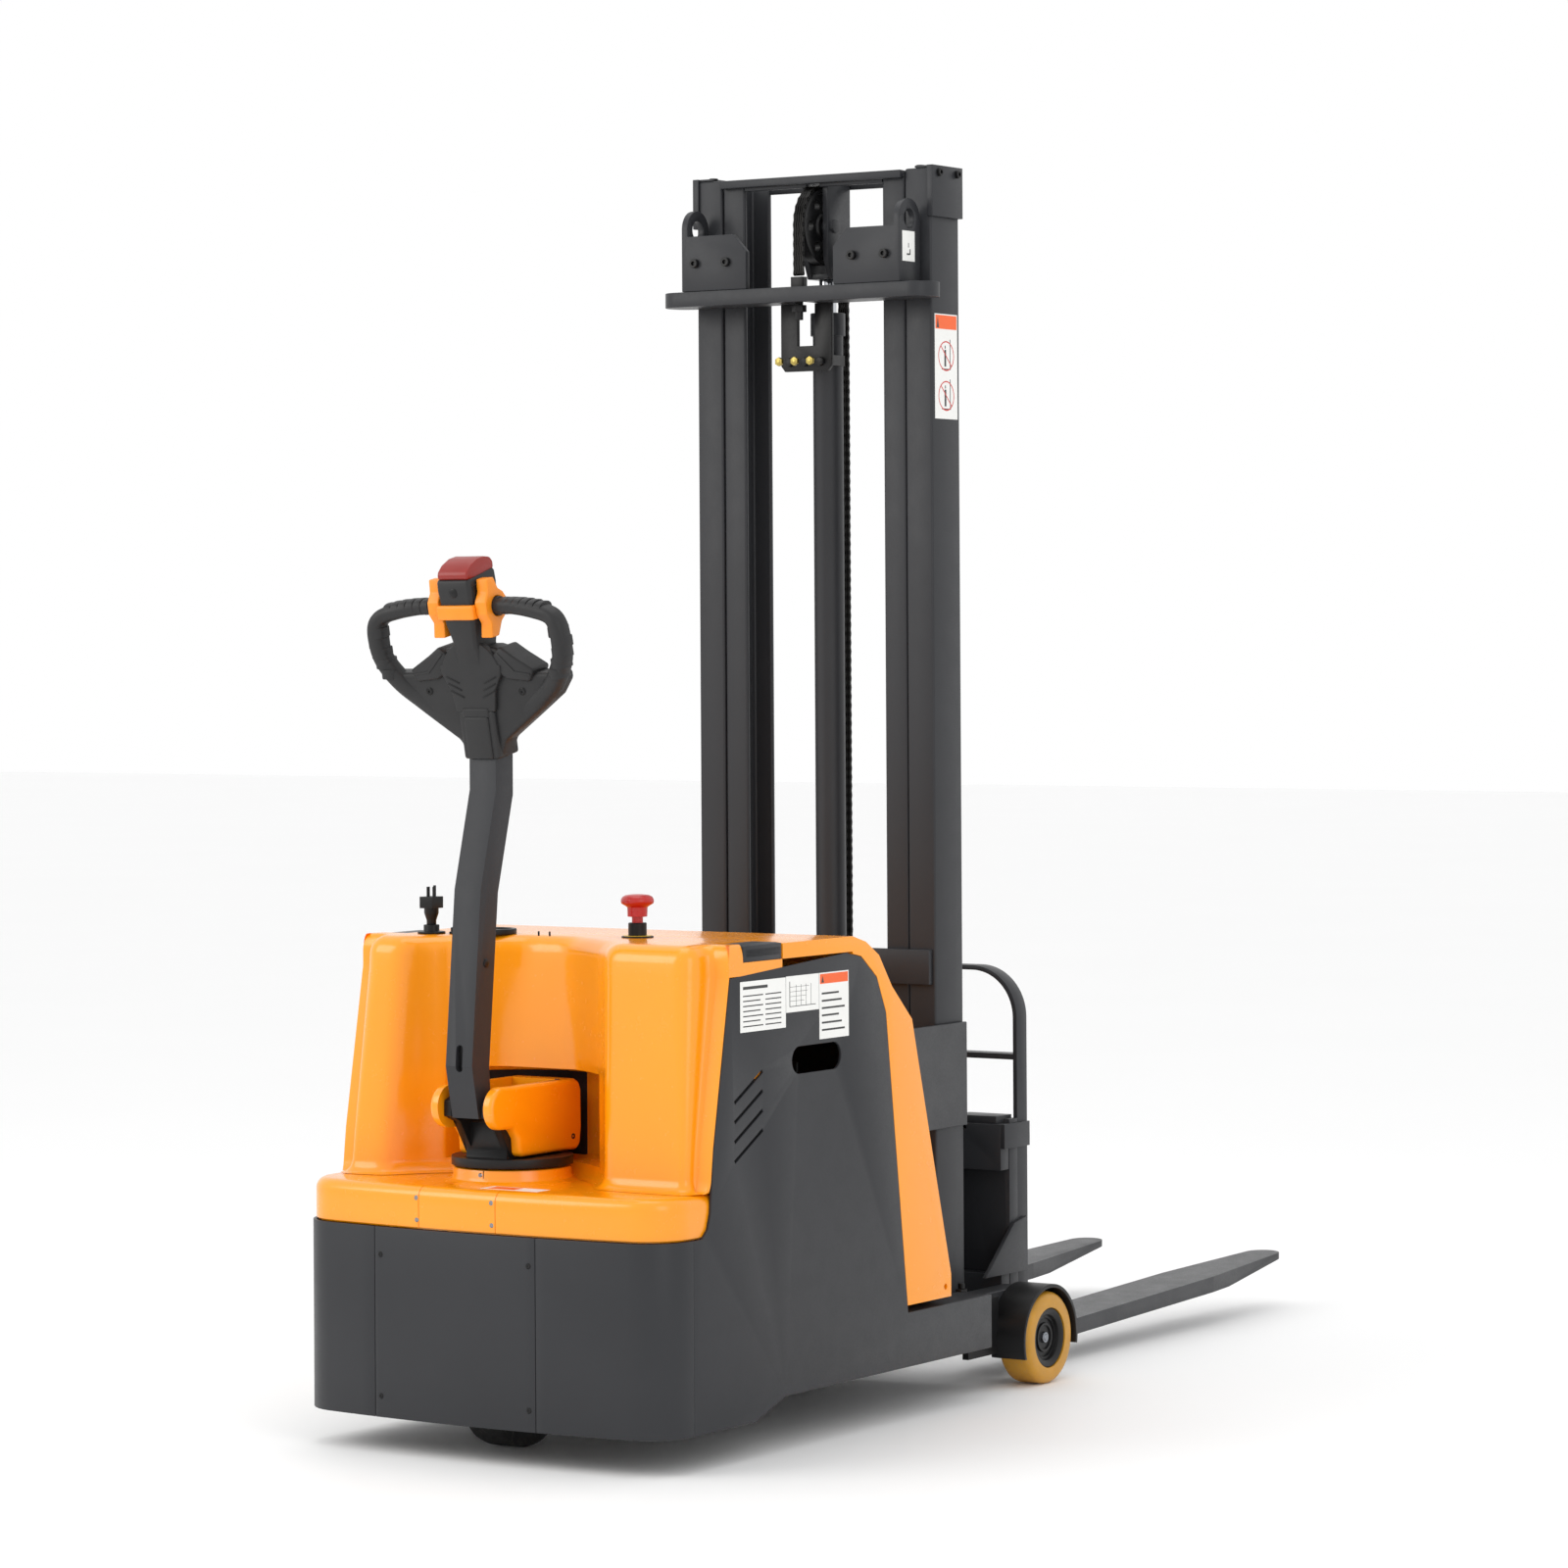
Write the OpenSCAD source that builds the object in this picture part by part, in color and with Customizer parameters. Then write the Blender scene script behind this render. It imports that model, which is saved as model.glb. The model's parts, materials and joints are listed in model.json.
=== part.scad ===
// Electric counterbalanced walkie stacker: drive unit and tiller at the rear (-X),
// two-stage mast and forks at the front (+X). Origin on the floor under the middle of
// the machine, +Y to the left, +Z up, millimetres.

/* [Overall] */
// Length from the rear skirt to the fork tips
machine_length = 2331; // [2300:1:2380]
// Height of the lowered mast
mast_height = 2112; // [2080:1:2200]
// Width of the body over the side panels
body_width = 728; // [724:1:760]

/* [Body] */
// Height of the skirt's lower edge
skirt_bottom = 58; // [50:1:70]
// Height of the skirt's upper edge
skirt_top = 362; // [355:1:365]
// Height of the step behind the hood
ledge_top = 430; // [425:1:435]
// Height of the hood
hood_top = 815; // [810:1:840]
// Thickness of the steel side panels
panel_thick = 5; // [3:0.5:6]
// Wall of the moulded covers
cover_wall = 5; // [4:0.5:8]
// Corner radius of the skirt in plan
corner_r = 80; // [60:1:90]

/* [Steering and tiller] */
// Distance from the rear skirt to the steering axis
drive_setback = 182; // [175:1:190]
// Offset of the steering axis to the left of the middle
drive_offset = 45; // [40:1:50]
// Radius of the drive wheel
drive_wheel_r = 105; // [100:1:108]
// Width of the drive wheel
drive_wheel_w = 70; // [60:1:74]
// Distance from the steering axis back to the tiller pivot
tiller_reach = 105; // [100:1:108]
// Height of the tiller pivot
tiller_pivot_z = 553; // [550:1:556]
// Width of the tiller's box section
arm_w = 52; // [44:1:54]
// Depth of the tiller's box section
arm_d = 46; // [40:1:48]
// Width over the handle
handle_w = 392; // [380:1:400]

/* [Mast] */
// Width over the mast
mast_width = 486; // [480:1:490]
// Depth of the outer channels
channel_depth = 92; // [90:1:94]
// Flange length of the outer channels
outer_flange = 53; // [50:1:55]
// Flange length of the inner channels
inner_flange = 45; // [42:1:46]
// Plate thickness of the outer channels
outer_steel = 12; // [10:0.5:13]
// Plate thickness of the inner channels
inner_steel = 10; // [8:0.5:11]
// Outer radius of the lift cylinder
barrel_r = 26.5; // [25:0.5:27]
// Pitch radius of the chain sheave
sheave_r = 72; // [70:1:74]

/* [Wheels and forks] */
// Radius of the load wheels
load_wheel_r = 80; // [76:1:82]
// Width of the load wheels
load_wheel_w = 62; // [56:1:64]
// Width of one fork
fork_w = 110; // [100:1:120]
// Distance between the fork centres
fork_spread = 393; // [380:1:400]
// Thickness of a fork blade
fork_thick = 28; // [25:1:32]
// Upward pitch of the fork blades in degrees
fork_pitch = 2; // [0:0.5:2.5]

/* [Hidden] */
$fn = 64;

// Colours
charcoal = "#3A3B3E";
black = "#1E1E20";
amber = "#FBA50F";
steel = "#B9BCC0";
red = "#C8201C";
ochre = "#B8862B";
iron = "#4A4A48";
zinc = "#C9B458";
paper = "#F2F2EE";

// Body
rear_x = -machine_length / 2;
tip_x = machine_length / 2;
side_y = body_width / 2;
axis_x = rear_x + drive_setback;
axis_y = drive_offset;
ledge_inset = 5.2;
bow_r = 2500;
skirt_x = rear_x;
skirt_thick = 6;
seam_y_left = 190;
seam_y_right = -128;
seam_gap = 1;
panel_x0 = corner_centre_x() + 2;
panel_top = 785;
leg_bottom = 88;
leg_top = 178;
leg_end_x = -167;
beam_y = 253;
beam_w = 43;
beam_end_x = 62;

// Hood
hood_x0 = rear_x + 121.5;
hood_lean = 31;
hood_x1 = axis_x + 174;
hood_r = 45;
hood_side = side_y - 1;
hood_block_y = hood_side - 26;
pocket_r = 182;
pocket_top = 600;
column_r = 26;

// Front cover slope, as X and Z of its upper and lower ends
slope_top = [-418, 664];
slope_bottom = [-298, 228];
cover_bottom = 190;

// Mast
mast_front_x = -54.5;
mast_rear_x = mast_front_x - channel_depth;
outer_y1 = mast_width / 2;
outer_y0 = outer_y1 - outer_flange;
run_gap = 2;
inner_y1 = outer_y0 - run_gap;
inner_y0 = inner_y1 - inner_flange;
mast_bottom = 95;
mast_top = mast_height - 6;
inner_bottom = 182;
inner_depth = channel_depth - 4;
inner_mid_x = mast_front_x - channel_depth / 2;
roller_r = inner_depth / 2 - inner_steel - 0.4;
stub_r = 9;
stub_fit = 0.05;
tie_z0 = 1880;
tie_z1 = 1906;
tie_x0 = rear_x + 942;
eye_z = 2016;
eye_hole_r = 17;

// Lift
barrel_x = inner_mid_x + 2.5;
barrel_bore = 22;
rod_r = 15;
fit = 0.05;
barrel_base_z = 112;
barrel_top_z = 1866;
sheave_x = barrel_x - 20;
sheave_z = 2016;
sheave_half_w = 9;
chain_w = 20;
chain_t = 9;
front_strand_x = sheave_x + sheave_r;
rear_strand_x = sheave_x - sheave_r;
carriage_anchor_z = 430;
rear_anchor_z = 1926;
pipe_r = 8;
pipe_y = -60;
pipe_z = 150;

// Wheels and carriage
load_x = 34.5;
load_y0 = side_y - 64;
load_y1 = load_y0 + load_wheel_w;
load_axle_r = 10;
bar_x0 = 56;
bar_x1 = 84;
fork_x0 = bar_x1 + 0.5;
fork_x1 = fork_x0 + fork_thick;
carriage_half = 251;
plate_y0 = 118;
plate_y1 = 136;
backrest_top = 716;
backrest_mid = 557;

// Tiller, along its own path above the pivot
pivot_x = axis_x - tiller_reach;
arm_bend_z = 900;
arm_knee_z = 1058;
arm_top_z = 1120;
arm_foot = -14;
arm_lean = 12;
arm_shift = 54;
head_x = pivot_x + arm_shift;
cheek_y = 62;
pin_r = 9;
key_x = -905;
key_y = 212;
gauge_x = -878;
gauge_y = 163;
plug_x = -917;
plug_y = 256;

// Handle, in its own frame: u forwards, v left, w up from the top of the arm
head_foot_z = 1130;
head_lean = 12;
grip_u = -10;
grip_w = 229;
grip_hub_r = 15.8;
lever_v = [36, 58];

module box(x, y, z) {
    translate([x[0], y[0], z[0]])
        cube([x[1] - x[0], y[1] - y[0], z[1] - z[0]]);
}

module both_sides() {
    children();
    mirror([0, 1, 0]) children();
}

// Cylinders along one axis, from a to b
module along_x(y, z, x, r) {
    translate([x[0], y, z]) rotate([0, 90, 0]) cylinder(h = x[1] - x[0], r = r);
}

module along_y(x, z, y, r) {
    translate([x, y[1], z]) rotate([90, 0, 0]) cylinder(h = y[1] - y[0], r = r);
}

module along_z(x, y, z, r) {
    translate([x, y, z[0]]) cylinder(h = z[1] - z[0], r = r);
}

// A plate whose outline is given in X and Z, spanning y
module side_plate(points, y) {
    translate([0, y[1], 0]) rotate([90, 0, 0])
        linear_extrude(y[1] - y[0]) polygon(points);
}

// A plate whose outline is given in Y and Z, spanning x
module cross_plate(points, x) {
    translate([x[0], 0, 0]) rotate([90, 0, 90])
        linear_extrude(x[1] - x[0]) polygon(points);
}

// Rounded rectangle in plan, made of exact arcs
module round_rect(x, y, r) {
    translate([x[0] + r, y[0]]) square([x[1] - x[0] - 2 * r, y[1] - y[0]]);
    translate([x[0], y[0] + r]) square([x[1] - x[0], y[1] - y[0] - 2 * r]);
    for (cx = [x[0] + r, x[1] - r], cy = [y[0] + r, y[1] - r])
        translate([cx, cy]) circle(r = r);
}

// Plan outline of the rear end: a bowed back with round corners, closed at x_end.
// inset moves the outline inwards by a wall's thickness.
function corner_centre_x() = skirt_x + bow_r
    - sqrt(pow(bow_r - corner_r, 2) - pow(side_y - corner_r, 2));
function bow_angle() = asin((side_y - corner_r) / (bow_r - corner_r));
function rear_half(inset, steps = 8) = concat(
    [for (i = [0 : steps])
        let (a = 90 + (90 - bow_angle()) * i / steps, r = corner_r - inset)
        [corner_centre_x() + r * cos(a), side_y - corner_r + r * sin(a)]],
    [for (i = [1 : steps])
        let (a = bow_angle() * (1 - i / steps), r = bow_r - inset)
        [skirt_x + bow_r - r * cos(a), r * sin(a)]]);
function mirrored(points) = [for (i = [len(points) - 2 : -1 : 0])
    [points[i][0], -points[i][1]]];
function rear_outline(inset, x_end) = concat([[x_end, side_y - inset]],
    rear_half(inset), mirrored(rear_half(inset)), [[x_end, -side_y + inset]]);

module rear_wall(inset, thick, x_end) {
    difference() {
        polygon(rear_outline(inset, x_end));
        polygon(rear_outline(inset + thick, x_end + 1));
    }
}

// Recess in the hood that lets the tiller turn, in plan about the steering axis
module tiller_scoop() {
    half = [[-250, 300], [-105, 240], [-40, 205], [0, 180], [50, 120], [80, 65]];
    mirrored_half = [for (i = [len(half) - 1 : -1 : 0]) [half[i][0], -half[i][1]]];
    translate([axis_x, axis_y]) polygon(concat(half, mirrored_half));
}

module chassis_frame() {
    color(charcoal) {
        box([-870, leg_end_x], [-beam_y, beam_y], [leg_bottom, leg_bottom + 10]);
        both_sides() {
            box([-870, beam_end_x], [beam_y, beam_y + beam_w], [leg_bottom - 10, leg_top - 14]);
            box([-440, leg_end_x], [beam_y + beam_w, side_y - panel_thick - 0.2],
                [leg_bottom, leg_top]);
            box([axis_x + 62, axis_x + 172], [side_y - 62, side_y - 1], [panel_top + 1, hood_top - 3]);
        }
        box([-215, mast_front_x], [-beam_y, beam_y], [60, mast_bottom]);
        difference() {
            box([axis_x - 130, axis_x + 150], [-beam_y - 80, beam_y + 80], [352, skirt_top]);
            along_z(axis_x, axis_y, [350, skirt_top + 2], column_r + 22);
        }
        both_sides() box([-870, -800], [beam_y, beam_y + 12], [leg_top - 14, 352]);
        box([-812, -800], [-beam_y, beam_y], [leg_bottom + 10, 352]);
        box([-470, -458], [-330, 330], [leg_bottom + 10, 655]);
    }
}

// Side panel: rear skirt, access side and leg skin in one steel plate
module side_panel() {
    outline = [
        [panel_x0, skirt_bottom], [-897, skirt_bottom], [-807, leg_bottom],
        [leg_end_x, leg_bottom], [leg_end_x, leg_top], [-436, leg_top],
        [-500, 680], [-528, 740], [-575, 776], [-620, panel_top], [-960, panel_top - 22],
        [-1010, 490], [-1018, 400], [-1026, skirt_top + 14], [-1042, skirt_top],
        [panel_x0, skirt_top]];
    difference() {
        side_plate(outline, [side_y - panel_thick, side_y]);
        side_slot();
        for (i = [0 : 3]) louvre(i);
    }
}

module side_slot() {
    slot_z = 621;
    slot_r = 22;
    for (x = [-762, -660]) along_y(x, slot_z, [side_y - 20, side_y + 20], slot_r);
    box([-762, -660], [side_y - 20, side_y + 20], [slot_z - slot_r, slot_z + slot_r]);
}

// One slanted vent slot; the index counts downwards
module louvre(index) {
    pitch = 31;
    translate([-950, side_y, 567 - pitch * index]) rotate([0, -29, 0])
        translate([0, -20, -3]) cube([92, 40, 6]);
}

module side_panel_left() {
    color(charcoal) side_panel();
}

module side_panel_right() {
    color(charcoal) mirror([0, 1, 0]) side_panel();
}

module rear_corners() {
    color(charcoal) for (span = [[seam_y_left + seam_gap, side_y], [-side_y, seam_y_right - seam_gap]])
        intersection() {
            translate([0, 0, skirt_bottom])
                linear_extrude(skirt_top - skirt_bottom) rear_wall(0, skirt_thick, panel_x0 - 0.2);
            box([rear_x - 1, panel_x0 - 0.2], span, [0, 400]);
        }
}

module rear_access_panel() {
    color(charcoal) intersection() {
        translate([0, 0, skirt_bottom])
            linear_extrude(skirt_top - skirt_bottom) rear_wall(0, skirt_thick, panel_x0);
        box([rear_x - 1, panel_x0], [seam_y_right, seam_y_left], [0, 400]);
    }
}

module hood_plan(inset) {
    round_rect([hood_x0 + inset, hood_x1 + 200], [-hood_block_y + inset, hood_block_y - inset],
        hood_r - inset);
}

// Hood without its openings: a rear block that leans forwards between two wider rims
module hood_skin(z0, inset) {
    top = hood_top - inset;
    front = hood_x1 + 201;
    intersection() {
        translate([0, 0, z0]) linear_extrude(top - z0) hood_plan(inset);
        side_plate([[hood_x0 + inset, z0 - 1], [front, z0 - 1], [front, top + 1],
            [hood_x0 + hood_lean + inset, top + 1]], [-side_y, side_y]);
    }
    side_plate([[-1031 + inset, z0], [front, z0], [front, top], [-962 + inset, top],
        [-974 + inset, 763], [-1022 + inset, 490]], [-hood_side + inset, hood_side - inset]);
}

module hood() {
    color(amber) difference() {
        intersection() {
            hood_skin(ledge_top + 0.5, 0);
            box([hood_x0 - 1, hood_x1], [-side_y, side_y], [ledge_top, hood_top + 1]);
        }
        difference() {
            hood_skin(ledge_top - 1, cover_wall);
            along_z(axis_x, axis_y, [ledge_top - 1, pocket_top + cover_wall],
                pocket_r + cover_wall);
            translate([0, 0, pocket_top]) linear_extrude(hood_top) scoop_wall();
        }
        along_z(axis_x, axis_y, [ledge_top - 1, pocket_top], pocket_r);
        translate([0, 0, ledge_top - 1]) linear_extrude(hood_top) tiller_scoop();
        // The steel side panels and the dark corner pieces take the front flanks
        both_sides() {
            side_plate([[-960, 820], [-960, panel_top - 22], [-1010, 490], [-1018, 400],
                [-700, 400], [-700, 820]], [side_y - panel_thick - 1, side_y + 1]);
            box([axis_x + 61, hood_x1 + 1], [side_y - 63, side_y + 1], [panel_top - 20, hood_top + 1]);
        }
    }
}

module scoop_wall() {
    grow = (pocket_r + 20) / pocket_r;
    translate([axis_x, axis_y]) scale([grow, grow]) translate([-axis_x, -axis_y]) tiller_scoop();
}

module bumper_ledge() {
    color(amber) difference() {
        translate([0, 0, skirt_top + 0.5]) linear_extrude(ledge_top - skirt_top - 0.5)
            polygon(rear_outline(ledge_inset, panel_x0 + 40));
        translate([0, 0, skirt_top - 1]) linear_extrude(ledge_top - skirt_top + 1 - cover_wall)
            polygon(rear_outline(ledge_inset + cover_wall, panel_x0 + 41));
        box([rear_x - 1, axis_x - 40], [-50.5, 102.5], [skirt_top, ledge_top + 1]);
        along_z(axis_x, axis_y, [skirt_top - 2, ledge_top + 1], 96);
    }
}

// Removable middle of the ledge with the round boss under the tiller
module ledge_centre_cover() {
    boss_top = ledge_top + 22;
    boss_r = 95;
    color(amber) difference() {
        union() {
            intersection() {
                translate([0, 0, skirt_top + 0.5]) linear_extrude(ledge_top - skirt_top - 0.5)
                    polygon(rear_outline(ledge_inset, panel_x0));
                box([rear_x - 1, axis_x - 60], [-50, 102], [skirt_top, ledge_top]);
            }
            along_z(axis_x, axis_y, [skirt_top + 0.5, boss_top], boss_r);
        }
        intersection() {
            translate([0, 0, skirt_top - 1]) linear_extrude(ledge_top - skirt_top + 1 - cover_wall)
                polygon(rear_outline(ledge_inset + cover_wall, panel_x0));
            box([rear_x - 1, axis_x - 60], [-50 + cover_wall, 102 - cover_wall], [0, ledge_top]);
        }
        along_z(axis_x, axis_y, [skirt_top - 1, boss_top - cover_wall], boss_r - cover_wall);
        along_z(axis_x, axis_y, [skirt_top - 1, boss_top + 1], column_r + 6);
    }
}

// Moulded front cover: top deck, sloping front and the two wings beside the mast
module front_cover() {
    wing = [[-600, cover_bottom], [slope_bottom[0], cover_bottom], slope_bottom, slope_top,
        [-480, 722], [-520, 776], [-560, 800], [-600, hood_top - 4],
        [hood_x1 + 1, hood_top - 4], [hood_x1 + 1, panel_top + 1], [-600, panel_top + 1]];
    under = [[-700, cover_bottom - 1], [slope_bottom[0] - cover_wall, cover_bottom - 1],
        slope_bottom - [cover_wall, 0], slope_top - [cover_wall, 0], [-485, 718],
        [-523, 770], [-562, 794], [-601, hood_top - 9], [hood_x1, hood_top - 9]];
    color(amber) difference() {
        union() {
            side_plate(wing, [-side_y + 0.5, side_y - 0.5]);
        }
        side_plate(concat(under, [[hood_x1, panel_top], [-700, panel_top]]),
            [-side_y + 24, side_y - 24]);
        both_sides() side_plate([[-900, 180], [-435, 180], [-499, 681], [-527, 741],
            [-574, 777], [-619, panel_top + 1], [-900, panel_top + 1]],
            [side_y - panel_thick - 1, side_y + 1]);
        both_sides() along_y(-316, 208, [side_y - 30, side_y + 1], 5);
        both_sides() box([-460, -200], [outer_y1 - 1, beam_y + beam_w + 2], [450, 633]);
    }
}

module counterweight() {
    color(iron) difference() {
        box([rear_x + 62, -872], [-345, 345], [110, 348]);
        along_z(axis_x, axis_y, [100, 350], 172);
        box([rear_x, rear_x + 112], [-400, 400], [100, 350]);
    }
}

module battery() {
    color(iron) {
        box([-795, -475], [-248, 248], [leg_bottom + 12, 470]);
        for (i = [0 : 5], side = [-1, 1])
            along_z(-745 + 46 * i, 120 * side, [470, 488], 16);
    }
}

module hydraulic_pump_unit() {
    color(black) {
        box([-452, -340], [-150, 150], [leg_bottom + 10.5, 330]);
        along_x(0, 400, [-450, -375], 56);
        box([-425, -380], [-36, 36], [330, 346]);
    }
}

module power_electronics() {
    color(steel) {
        box([-780, -640], [-290, -60], [500, 590]);
        box([-780, -640], [60, 290], [500, 580]);
        for (i = [0 : 6]) box([-776 + 20 * i, -770 + 20 * i], [-290, -60], [590, 606]);
    }
}

// Pressure pipe from the pump to the foot of the lift cylinder
module hydraulic_pipe() {
    color(black) {
        along_x(pipe_y, pipe_z, [-340, barrel_x], pipe_r);
        along_y(barrel_x, pipe_z, [pipe_y, -barrel_r], pipe_r);
        translate([barrel_x, pipe_y, pipe_z]) sphere(r = pipe_r);
    }
}

// Outer mast channels, open towards each other
module mast_channels() {
    color(charcoal) both_sides() translate([0, 0, mast_bottom])
        linear_extrude(mast_top - mast_bottom) difference() {
            translate([mast_rear_x, outer_y0]) square([channel_depth, outer_flange]);
            translate([mast_rear_x + outer_steel, outer_y0 - 1])
                square([channel_depth - 2 * outer_steel, outer_flange + 1 - outer_steel]);
        }
}

// Rear ties of the outer mast, with the broad tie plate near the top
module mast_cross_ties() {
    tie_thick = 11;
    notch_half = 19;
    color(charcoal) {
        box([mast_rear_x - tie_thick, mast_rear_x - 0.2], [-outer_y1 + 6, outer_y1 - 6], [700, 760]);
        difference() {
            box([mast_rear_x - tie_thick, mast_rear_x - 0.2], [-outer_y1 + 6, outer_y1 - 6],
                [mast_bottom + 5, mast_bottom + 85]);
            along_x(pipe_y, pipe_z, [mast_rear_x - 20, mast_rear_x + 1], pipe_r + 1);
        }
        difference() {
            translate([0, 0, tie_z0]) linear_extrude(tie_z1 - tie_z0)
                round_rect([tie_x0, mast_rear_x - 0.2], [-276, 276], 36);
            box([rear_strand_x - 14, mast_rear_x], [-notch_half, notch_half], [tie_z0 - 1, tie_z1 + 1]);
        }
    }
}

// Angled lifting brackets on the tie plate: a bolted face and an upright eye ahead of it
module lifting_brackets() {
    face_x = tie_x0 + 2;
    face_thick = 12;
    eye_y = [213, 225];
    eye_x1 = mast_rear_x - 6.5;
    eye_r = (eye_x1 - face_x) / 2;
    foot_z = tie_z1 + 0.5;
    color(charcoal) both_sides() {
        cross_plate([[90, foot_z], [eye_y[1], foot_z], [eye_y[1], 2003], [118, 2003], [90, 1972]],
            [face_x, face_x + face_thick]);
        difference() {
            union() {
                side_plate([[face_x, foot_z], [eye_x1, foot_z], [eye_x1, eye_z], [face_x, eye_z]],
                    eye_y);
                along_y(face_x + eye_r, eye_z, eye_y, eye_r);
            }
            along_y(face_x + eye_r, eye_z, [eye_y[0] - 1, eye_y[1] + 1], eye_hole_r);
        }
    }
}

module mast_caps() {
    color(charcoal) both_sides() difference() {
        box([mast_rear_x - 4, mast_front_x + 4], [outer_y0 + 20, outer_y1 + 6],
            [mast_height - 90, mast_height - 2]);
        box([mast_rear_x - 0.2, mast_front_x + 0.2], [outer_y0, outer_y1 + 0.2],
            [mast_height - 91, mast_top + 0.2]);
        box([mast_rear_x - 5, mast_rear_x + 1], [0, outer_y1 - 5.8], [mast_height - 91, mast_height]);
    }
}

module mast_stays() {
    color(charcoal) both_sides() {
        box([-425, mast_front_x - 1], [outer_y1 + 0.3, outer_y1 + 8], [452, 631]);
        box([-425, -380], [outer_y1 + 8, beam_y + beam_w], [452, 631]);
    }
}

module hex_head(r, h) {
    cylinder(h = h, r = r, $fn = 6);
}

// X of the bowed rear wall's skin at a distance from the middle
function skin_x(y, inset) = [1, 1] * (skirt_x + bow_r - sqrt(pow(bow_r - inset, 2) - y * y));

// Bolts of the mast and brackets, and the screws of the rear panels
module fasteners() {
    color(black) {
        both_sides() {
            for (y = [130, 196]) translate([tie_x0 + 1.8, y, 1955])
                rotate([0, -90, 0]) hex_head(9, 8);
            for (x = [-130, -70]) translate([x, outer_y1 + 6.1, mast_height - 14])
                rotate([-90, 0, 0]) hex_head(8, 7);
            for (x = [-170, -118]) translate([x, beam_y + 21, leg_top - 14]) hex_head(11, 22);
            along_z(mast_rear_x + 12, inner_y1 + 26, [mast_height - 2, mast_height], 8);
        }
        for (y = [seam_y_left - 12, seam_y_right + 12], z = [92, 318])
            along_x(y, z, skin_x(abs(y) - 5, 0) - [2.2, 0.05], 5);
        for (y = [-42, 94], z = [382, 408])
            along_x(y, z, skin_x(abs(y) - 4, ledge_inset) - [2.2, 0.05], 4);
    }
}

// Hollow lift cylinder with its base and gland
module cylinder_barrel() {
    color(charcoal) difference() {
        union() {
            along_z(barrel_x, 0, [barrel_base_z, barrel_top_z - 40], barrel_r);
            along_z(barrel_x, 0, [barrel_top_z - 40, barrel_top_z], barrel_r + 4);
            along_z(barrel_x, 0, [mast_bottom, barrel_base_z], barrel_r + 6);
        }
        along_z(barrel_x, 0, [barrel_base_z + 20, barrel_top_z - 30], barrel_bore);
        along_z(barrel_x, 0, [barrel_top_z - 31, barrel_top_z + 1], rod_r + fit);
    }
}

// Bracket that clamps the cylinder head and takes the fixed end of the chain
module cylinder_clamp() {
    plate_x = mast_rear_x - 14;
    color(charcoal) {
        difference() {
            cross_plate([[-44, 1762], [44, 1762], [52, 1772], [52, tie_z0 - 0.3], [18, tie_z0 - 0.3],
                [18, 1806], [-18, 1806], [-18, tie_z0 - 0.3], [-52, tie_z0 - 0.3], [-52, 1772]],
                [plate_x - 8, plate_x]);
        }
        difference() {
            box([plate_x, barrel_x - 8], [-40, 40], [1772, 1790]);
            along_z(barrel_x, 0, [1771, 1791], barrel_r + 0.1);
        }
    }
    color(zinc) {
        along_z(rear_strand_x, 0, [tie_z0 - 30, rear_anchor_z - 1], 7);
        box([rear_strand_x - 8, rear_strand_x + 8], [-12, 12], [rear_anchor_z - 22, rear_anchor_z - 1]);
        translate([rear_strand_x, 0, tie_z0 - 16]) hex_head(13, 12);
        for (y = [-32, 0, 32]) translate([plate_x - 8.2, y, 1778]) rotate([0, -90, 0]) hex_head(8, 8);
    }
}

module chain_rear_strand() {
    color(black) box([rear_strand_x - chain_t / 2, rear_strand_x + chain_t / 2],
        [-chain_w / 2, chain_w / 2], [rear_anchor_z, sheave_z]);
}

module chain_front_strand() {
    color(black) box([front_strand_x - chain_t / 2, front_strand_x + chain_t / 2],
        [-chain_w / 2, chain_w / 2], [carriage_anchor_z, sheave_z]);
}

// Load wheel bracket: round mudguard, inner plate and stub axle
module wheel_brackets() {
    guard_in = load_wheel_r + 7;
    guard_out = guard_in + 6;
    color(black) both_sides() {
        difference() {
            along_y(load_x, load_wheel_r, [beam_y + beam_w, side_y - 1], guard_out);
            along_y(load_x, load_wheel_r, [beam_y + beam_w - 1, side_y + 1], guard_in);
            box([load_x - 200, load_x + 200], [0, 400], [-100, 52]);
            translate([load_x, 0, load_wheel_r]) rotate([0, 12, 0])
                translate([0, 200, -200]) cube([300, 300, 200]);
        }
        along_y(load_x, load_wheel_r, [beam_y + beam_w, load_y0 - 1], 34);
        along_y(load_x, load_wheel_r, [beam_y + beam_w, load_y1 - 14], load_axle_r);
        box([-152, -50], [beam_y + beam_w, beam_y + beam_w + 12], [60, leg_top - 20]);
    }
}

// Blank plates where the data, chart and notice labels sit
module label_plates() {
    t = 0.4;
    color(paper) {
        for (s = [[[-933, -802], [676, 756]], [[-801, -704], [699, 757]], [[-703, -615], [650, 757]]])
            box(s[0], [-side_y - t, -side_y], s[1]);
        box([mast_rear_x + 10, mast_rear_x + 84], [-outer_y1 - t, -outer_y1], [1674, 1855]);
    }
}

module estop_base() {
    color(black) {
        along_z(-847, -108, [hood_top, hood_top + 4], 26);
        difference() {
            along_z(-847, -108, [hood_top + 4, hood_top + 24], 15);
            along_z(-847, -108, [hood_top + 1, hood_top + 25], 9.3);
        }
    }
}

module estop_button() {
    color(red) {
        along_z(-847, -108, [hood_top + 11, hood_top + 34], 9);
        along_z(-847, -108, [hood_top + 34, hood_top + 50], 17);
        translate([-847, -108, hood_top + 50]) cylinder(h = 8, r1 = 17, r2 = 27);
        along_z(-847, -108, [hood_top + 58, hood_top + 70], 27);
    }
}

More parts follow.
